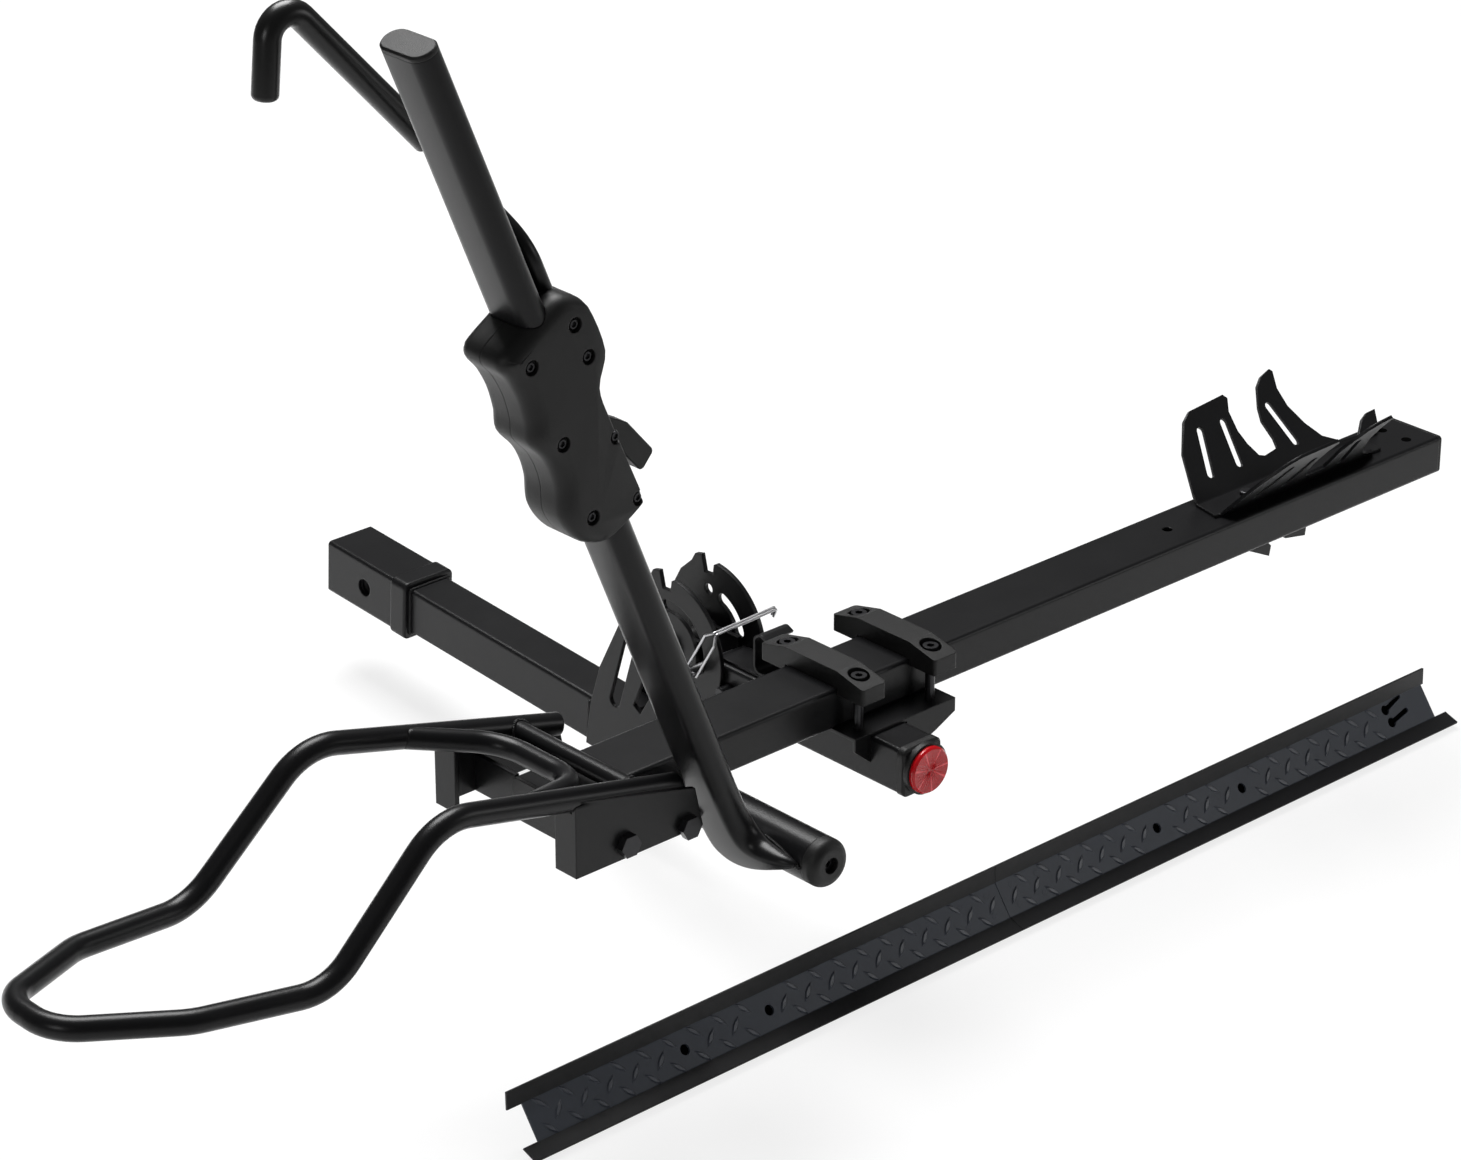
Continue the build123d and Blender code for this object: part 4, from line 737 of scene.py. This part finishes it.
rear_face_y = grip_middle_y - grip_half_depth
grip_cuts = bmesh.new()
arm_bore = flat_oval(*arm_bore_halves)
join_rings(grip_cuts, [[Vector((arm_bore_x + near, grip_middle_y + far, z)) for far, near in arm_bore]
                       for z in arm_bore_ends])
rod_bore = round_outline(rod_beside, grip_middle_y, rod_bore_radius, 32)
join_rings(grip_cuts, [[Vector((x, y, z)) for x, y in rod_bore] for z in rod_bore_ends])
for recess_x, recess_z in grip_screw_places:
    recess = round_outline(recess_x, recess_z, screw_recess_radius, 32)
    join_rings(grip_cuts, [[Vector((x, depth, z)) for x, z in recess]
                           for depth in (rear_face_y - cut_beyond, rear_face_y + screw_recess_depth)])
join_rings(grip_cuts, [[Vector((x, depth, z)) for x, z in trigger_pocket] for depth in trigger_pocket_ends])
bmesh.ops.recalc_face_normals(grip_cuts, faces=grip_cuts.faces)
cutter_mesh = bpy.data.meshes.new("grip_cuts")
grip_cuts.to_mesh(cutter_mesh)
grip_cuts.free()
cutter = in_scene("grip_cuts", cutter_mesh)
uncut = in_scene("grip_uncut", grip_mesh)
cutting = uncut.modifiers.new("openings", "BOOLEAN")
cutting.operation = "DIFFERENCE"
cutting.solver = "MANIFOLD"
cutting.object = cutter
bpy.context.view_layer.update()
grip_cut_mesh = bpy.data.meshes.new_from_object(uncut.evaluated_get(bpy.context.evaluated_depsgraph_get()))
grip_cut_mesh.name = "grip_moulded"
bpy.data.objects.remove(uncut)
bpy.data.objects.remove(cutter)
grip_cut_mesh.set_sharp_from_angle(angle=math.radians(grip_smooth_angle))
grip_cut_mesh.transform(arm_place)
grip_moulded = plain_piece("grip_moulded", grip_cut_mesh, "hook")
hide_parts("grip_rear", "grip_front")

head_y = rear_face_y + screw_recess_depth - screw_head_height / 2
head_spots = spots_mesh("grip_screw_places", [((x, head_y, z), rearwards_lean) for x, z in grip_screw_places])
grip_button_screws = grown_piece("grip_button_screws", button_screws, head_spots, "hook",
                                 arm_place)
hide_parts("grip_screws")

# The hook is a steel rod that leaves the grip beside the arm, crosses behind it and bends down over the
# wheel. A soft rubber sheath with a rounded end covers its upper part and keeps the rod off the wheel.
rubber_black = finish_material("rubber_black", (0.006, 0.006, 0.006), 0.3, specular=0.32, grain=1400,
                               grain_depth=0.00005, edge_round=0.001)
hook_rod_corners = [Vector(corner) for corner in (
    (rod_beside, grip_middle_y, 0.484), (rod_beside, grip_middle_y, 0.585), (0.0065, cross_middle_y, 0.645),
    (-0.0631, cross_middle_y, 0.8352), (-0.0985, cross_middle_y, 0.7700),
)]
sheath_corners = [Vector((x, cross_middle_y, z)) for x, z in (
    (0.0027, 0.6551), (-0.0631, 0.8352), (-0.1010, 0.7650))]
hook_rod_radius, sheath_radius, sheath_end_rounding = 0.007, 0.0098, 0.0045
rod_bend = 0.04
hook_bend = 0.017
sheath_end_steps = 6


def bent_path(corners, radii, steps=12):
    """The spots along a path whose inner corners are rounded by these radii."""
    spots = [corners[0]]
    for before, corner, after, radius in zip(corners, corners[1:], corners[2:], radii):
        back, ahead = (before - corner).normalized(), (after - corner).normalized()
        half_angle = back.angle(ahead) / 2
        reach = radius / math.tan(half_angle)
        middle = corner + (back + ahead).normalized() * radius / math.sin(half_angle)
        start, end = ((corner + way * reach - middle).normalized() for way in (back, ahead))
        spots.extend(middle + start.slerp(end, step / steps) * radius for step in range(steps + 1))
    return spots + [corners[-1]]


def swept_rings(spots, radii):
    """Rings round a path, each turned as little as possible from the one before."""
    side = Vector((1, 0, 0))
    rings = []
    for index, (spot, radius) in enumerate(zip(spots, radii)):
        onwards = (spots[min(index + 1, len(spots) - 1)] - spots[max(index - 1, 0)]).normalized()
        side = (side - onwards * side.dot(onwards)).normalized()
        rings.append(ring_round(spot, side * radius, onwards.cross(side) * radius))
    return rings


rod_spots = bent_path(hook_rod_corners, (rod_bend, rod_bend, hook_bend))
rod_form = bmesh.new()
join_rings(rod_form, swept_rings(rod_spots, [hook_rod_radius] * len(rod_spots)))
hook_rod_bent = formed_piece("hook_rod_bent", rod_form, powder_black, arm_place, "hook",
                             smooth_angle=50)
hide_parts("hook_rod")

sheath_spots = bent_path(sheath_corners, (hook_bend,))
sheath_end = sheath_spots.pop()
sheath_onwards = (sheath_end - sheath_spots[-1]).normalized()
sheath_radii = [sheath_radius] * len(sheath_spots)
for step in range(sheath_end_steps + 1):
    turn = math.pi / 2 * step / sheath_end_steps
    sheath_spots.append(sheath_end - sheath_onwards * sheath_end_rounding * (1 - math.sin(turn)))
    sheath_radii.append(sheath_radius - sheath_end_rounding * (1 - math.cos(turn)))
sheath_form = bmesh.new()
join_rings(sheath_form, swept_rings(sheath_spots, sheath_radii))
hook_sheath = formed_piece("hook_sheath", sheath_form, rubber_black, arm_place, "hook",
                           smooth_angle=50)
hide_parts("hook_cover")

# The reflector is a red acrylic lens, moulded as a shallow cone of wedges that meet at its middle.
# Some of its wedges have a lighter red as a painted highlight and show as bright spokes.
lens_wedges = 30
lens_half_depth = 0.0025
lens_cone_depth = 0.0014
lens_highlight_every = 9
rearwards = Vector((0, -math.cos(rack_slope), math.sin(rack_slope)))
lens_up = Vector((0, math.sin(rack_slope), math.cos(rack_slope)))
lens_low, lens_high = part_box("reflector_lens")
lens_middle = (lens_low + lens_high) / 2
lens_radius = (lens_high.x - lens_low.x) / 2
# Each profile line gives the share of the radius and the depths of the ring's even and odd points.
lens_profile = (
    (1.0, -lens_half_depth, -lens_half_depth), (1.0, lens_half_depth * 0.3, lens_half_depth * 0.3),
    (0.93, lens_half_depth, lens_half_depth),
    (0.2, lens_half_depth - lens_cone_depth * 0.55, lens_half_depth - lens_cone_depth * 0.75),
)


def lens_point(angle, radius, depth):
    """A point of the lens at this angle and radius, and this far rearwards of its middle."""
    across = radius * math.cos(angle)
    upwards = radius * math.sin(angle)
    return lens_middle + Vector((across, 0, 0)) + lens_up * upwards + rearwards * depth


lens_form = bmesh.new()
lens_rings = []
for radius_share, *depths in lens_profile:
    radius = lens_radius * radius_share
    lens_rings.append([
        lens_form.verts.new(lens_point(math.pi * step / lens_wedges, radius, depths[step % 2]))
        for step in range(lens_wedges * 2)
    ])
lens_tip = lens_form.verts.new(lens_point(0, 0, lens_half_depth - lens_cone_depth))
lens_back = lens_form.verts.new(lens_point(0, 0, -lens_half_depth))
for step in range(lens_wedges * 2):
    after = (step + 1) % (lens_wedges * 2)
    for outer, inner in zip(lens_rings, lens_rings[1:]):
        wedge = lens_form.faces.new((outer[step], outer[after], inner[after], inner[step]))
    tip_wedge = lens_form.faces.new((lens_rings[-1][step], lens_rings[-1][after], lens_tip))
    wedge.material_index = tip_wedge.material_index = 1 if step % lens_highlight_every == 0 else 0
    lens_form.faces.new((lens_rings[0][after], lens_rings[0][step], lens_back))
bmesh.ops.recalc_face_normals(lens_form, faces=lens_form.faces)
lens_mesh = bpy.data.meshes.new("reflector_facets")
lens_form.to_mesh(lens_mesh)
lens_form.free()
lens_red = finish_material("lens_red", (0.42, 0.003, 0.007), 0.24, specular=0.3, grain=500,
                           grain_depth=0.00005, mottling=0.15, coat=0.12, edge_round=0.0002)
lens_mesh.materials.append(lens_red)
# The spoke red is a painted highlight: a lighter copy of the lens red on every ninth wedge.
spoke_painted_highlight = finish_material("spoke_painted_highlight", (0.7, 0.03, 0.04), 0.2, specular=0.5, grain=500,
                            grain_depth=0.00005, mottling=0.1, coat=0.12, edge_round=0.0002)
lens_mesh.materials.append(spoke_painted_highlight)
reflector_facets = plain_piece("reflector_facets", lens_mesh, "rack")
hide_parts("reflector_lens")

# The ramp is folded from steel sheet in two lengths. Its floor is slate grey and its flanges are black,
# so its coat changes colour where the floor ends.
ramp_roll = math.radians(50)
ramp_across = Vector((0, -math.cos(ramp_roll), -math.sin(ramp_roll)))
ramp_out = Vector((0, -math.sin(ramp_roll), math.cos(ramp_roll)))
ramp_floor_half = 0.016
ramp_sheet_half = 0.001
ramp_middle = Vector((0, -0.65176, -0.075))
slate = (0.034, 0.040, 0.053)
flange_black = (0.009, 0.009, 0.010, 1)

ramp_coat = finish_material("ramp_coat", slate, 0.42, specular=0.3, edge_round=0.0006)
ramp_tree = ramp_coat.node_tree
ramp_place = put(ramp_tree, "ShaderNodeTexCoord")
ramp_share = put(ramp_tree, "ShaderNodeVectorMath", (0, ramp_place.outputs["Object"]), (1, ramp_across),
                 operation="DOT_PRODUCT")
ramp_offset = put(ramp_tree, "ShaderNodeMath", (0, ramp_share.outputs["Value"]),
                  (1, ramp_middle.dot(ramp_across)), operation="SUBTRACT")
ramp_distance = put(ramp_tree, "ShaderNodeMath", (0, ramp_offset.outputs[0]), operation="ABSOLUTE")
on_flange = put(ramp_tree, "ShaderNodeMath", (0, ramp_distance.outputs[0]), (1, ramp_floor_half),
                operation="GREATER_THAN")
ramp_colour = ramp_tree.nodes["Principled BSDF"].inputs["Base Color"]
two_tone = put(ramp_tree, "ShaderNodeMix", ("Factor", on_flange.outputs[0]),
               ("A", ramp_colour.links[0].from_socket), ("B", flange_black), data_type="RGBA")
ramp_tree.links.new(two_tone.outputs["Result"], ramp_colour)
dress(powder_black, "ramp_splice")

# Each length's floor has two round holes. The right one also has two keyholes near its end, and the rivets of
# the splice are ground flush, so that only the seam shows.
ramp_ends = (-0.396, 0.702)
ramp_set_back = 0.015
ramp_seam = 0.1365
ramp_seam_half = 0.00025
ramp_holes = (-0.221, -0.130, 0.326, 0.435)
keyholes = (
    ((0.6330, -0.0085), (0.6550, -0.0150), 0.0046, 0.0022),
    ((0.6345, 0.0040), (0.6575, -0.0008), 0.0046, 0.0022),
)
ramp_upper_trim = 0.012
fold_share = 0.55
edge_place = 0.0290
flange_rise = 0.0090


def keyhole_outline(big, small, big_radius, small_radius, steps=14, end_steps=6):
    """A round hole that runs out into a narrow slot with a round end."""
    big, small = Vector(big), Vector(small)
    heading = math.atan2(small.y - big.y, small.x - big.x)
    opening = math.asin(small_radius / big_radius)
    outline = []
    for step in range(steps + 1):
        turn = heading + opening + (2 * math.pi - 2 * opening) * step / steps
        outline.append((big.x + big_radius * math.cos(turn), big.y + big_radius * math.sin(turn)))
    for step in range(end_steps + 1):
        turn = heading - math.pi / 2 + math.pi * step / end_steps
        outline.append((small.x + small_radius * math.cos(turn), small.y + small_radius * math.sin(turn)))
    return outline


ramp_stand = Matrix.Translation(ramp_middle) @ turned(Vector((1, 0, 0)), -ramp_across, ramp_out)
floor_place = Matrix.Translation((0, 0, -ramp_sheet_half))
ramp_form = bmesh.new()
flange_run = Vector((edge_place - ramp_floor_half, flange_rise)).normalized() * ramp_sheet_half
flange_section = (
    (ramp_floor_half + flange_run.y * fold_share, -ramp_sheet_half),
    (edge_place + flange_run.y, flange_rise - flange_run.x),
    (edge_place - flange_run.y, flange_rise + flange_run.x),
    (ramp_floor_half - flange_run.y * fold_share, ramp_sheet_half),
)
for start_x, end_x, floor_start, floor_end in (
    (ramp_ends[0], ramp_seam - ramp_seam_half, ramp_ends[0] + ramp_set_back, ramp_seam - ramp_seam_half),
    (ramp_seam + ramp_seam_half, ramp_ends[1], ramp_seam + ramp_seam_half, ramp_ends[1] - ramp_set_back),
):
    floor_outline = ((floor_start, -ramp_floor_half), (floor_end, -ramp_floor_half),
                     (floor_end, ramp_floor_half), (floor_start, ramp_floor_half))
    floor_holes = [round_outline(x, 0, open_hole_radius, 20) for x in ramp_holes
                   if floor_start < x < floor_end]
    if floor_end > keyholes[0][0][0]:
        floor_holes += [[(x, -y) for x, y in keyhole_outline(*keyhole)] for keyhole in keyholes]
    add_sheet(ramp_form, floor_outline, floor_holes, floor_place, 2 * ramp_sheet_half)
    for side in (-1, 1):
        trimmed_end = end_x - (ramp_upper_trim if side > 0 and end_x == ramp_ends[1] else 0)
        join_rings(ramp_form, [[Vector((x, side * across, out)) for across, out in flange_section]
                               for x in (start_x, trimmed_end)])
ramp_folded = formed_piece("ramp_folded", ramp_form, ramp_coat, ramp_stand, "ramp",
                           smooth_angle=25)
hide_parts("ramp_channel_left", "ramp_channel_right")

# The ramp's openings show dark, as the sheet's own shaded underside does.
# Thin dark backs a little wider than the openings lie just behind them as painted shade.
shade_wider = 0.0012
shade_back_sheet = 0.0004
shade_behind = 0.0006
shade_place = Matrix.Translation((0, 0, -ramp_sheet_half - shade_behind))
shade_outlines = [round_outline(x, 0, open_hole_radius + shade_wider, 20) for x in ramp_holes]
for big, small, big_radius, small_radius in keyholes:
    wider_keyhole = keyhole_outline(big, small, big_radius + shade_wider, small_radius + shade_wider)
    shade_outlines.append([(x, -y) for x, y in wider_keyhole])
shade_form = bmesh.new()
for shade_outline in shade_outlines:
    add_sheet(shade_form, shade_outline, [], shade_place, shade_back_sheet)
formed_piece("ramp_hole_shades", shade_form, hole_painted_shade, ramp_stand, "ramp")

# Eight rivets hold the splice plate, four on each side of the seam.
# They reach through floor and plate and share the floor's coat.
rivet_radius = 0.0025
rivet_low, rivet_length = -0.0034, 0.00445
rivet_form = bmesh.new()
for along in (-0.045, -0.015, 0.015, 0.045):
    for across in (-0.009, 0.009):
        add_sheet(rivet_form, round_outline(ramp_seam + along, across, rivet_radius, 16), [],
                  Matrix.Translation((0, 0, rivet_low)), rivet_length)
ramp_flush_rivets = formed_piece("ramp_flush_rivets", rivet_form, ramp_coat, ramp_stand, "ramp")
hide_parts("ramp_rivets")

# The tread is rolled into the floor: rows of pointed bars that lean left and right by turns.
# The middle row is shifted by half a pitch, and the bars keep clear of the openings and the seam.
tread_pitch = 0.0265
tread_length = 0.0185
tread_width = 0.0046
tread_height = 0.0011
tread_crown_share = 0.62
tread_lean = math.radians(45)
tread_row_gap = 0.0105
tread_end_gap = 0.03
tread_clearance = 0.0125
tread_seam_clearance = 0.007


def tread_tree(material):
    """Pointed bars on points, each turned by its point's lean."""
    tree, taken = shape_tree("ramp_tread", "Places", "Tread", (
        ("Bar length", tread_length), ("Bar width", tread_width), ("Bar height", tread_height)))
    disc = put(tree, "GeometryNodeMeshCircle", ("Vertices", 16), ("Radius", 1.0), fill_type="NGON")
    spot = put(tree, "GeometryNodeInputPosition")
    parts = put(tree, "ShaderNodeSeparateXYZ", (0, spot.outputs[0]))
    along = times(tree, parts.outputs["X"], times(tree, taken["Bar length"], 0.5))
    size_y = put(tree, "ShaderNodeMath", (0, parts.outputs["Y"]), operation="ABSOLUTE")
    pointed = times(tree, parts.outputs["Y"], size_y.outputs[0])
    across = times(tree, pointed, times(tree, taken["Bar width"], 0.5))
    leaf_place = put(tree, "ShaderNodeCombineXYZ", (0, along), (1, across))
    leaf = put(tree, "GeometryNodeSetPosition", ("Geometry", disc.outputs[0]),
               ("Position", leaf_place.outputs[0]))
    bar = put(tree, "GeometryNodeExtrudeMesh", ("Mesh", leaf.outputs[0]),
              ("Offset Scale", taken["Bar height"]))
    bar.mode = "FACES"
    crown = put(tree, "GeometryNodeScaleElements", ("Geometry", bar.outputs["Mesh"]),
                ("Selection", bar.outputs["Top"]), ("Scale", tread_crown_share))
    return give_out(tree, leaning_copies(tree, taken["Places"], crown), material)


tread_coat = finish_material("tread_coat", (0.040, 0.046, 0.060), 0.34, specular=0.42, edge_round=0.0004)
tread_start = ramp_ends[0] + tread_end_gap
tread_count = int((ramp_ends[1] - tread_end_gap - tread_start) / tread_pitch)
bare_places = [Vector((x, 0)) for x in ramp_holes]
bare_places += [Vector((x, -y)) for big, small, *radii in keyholes for x, y in (big, small)]
tread_spots = []
for column in range(tread_count):
    for row_place in (-1, 0, 1):
        shift, lean = (0, -tread_lean) if row_place else (0.5, tread_lean)
        spot = Vector((tread_start + tread_pitch * (column + shift), row_place * tread_row_gap))
        by_opening = min((spot - place).length for place in bare_places) < tread_clearance
        if not by_opening and abs(spot.x - ramp_seam) >= tread_seam_clearance:
            tread_spots.append(((spot.x, spot.y, 0), (0, 0, lean)))
tread_place = ramp_stand @ Matrix.Translation((0, 0, ramp_sheet_half))
grown_piece("ramp_tread", tread_tree(tread_coat), spots_mesh("tread_places", tread_spots), "ramp",
            tread_place)
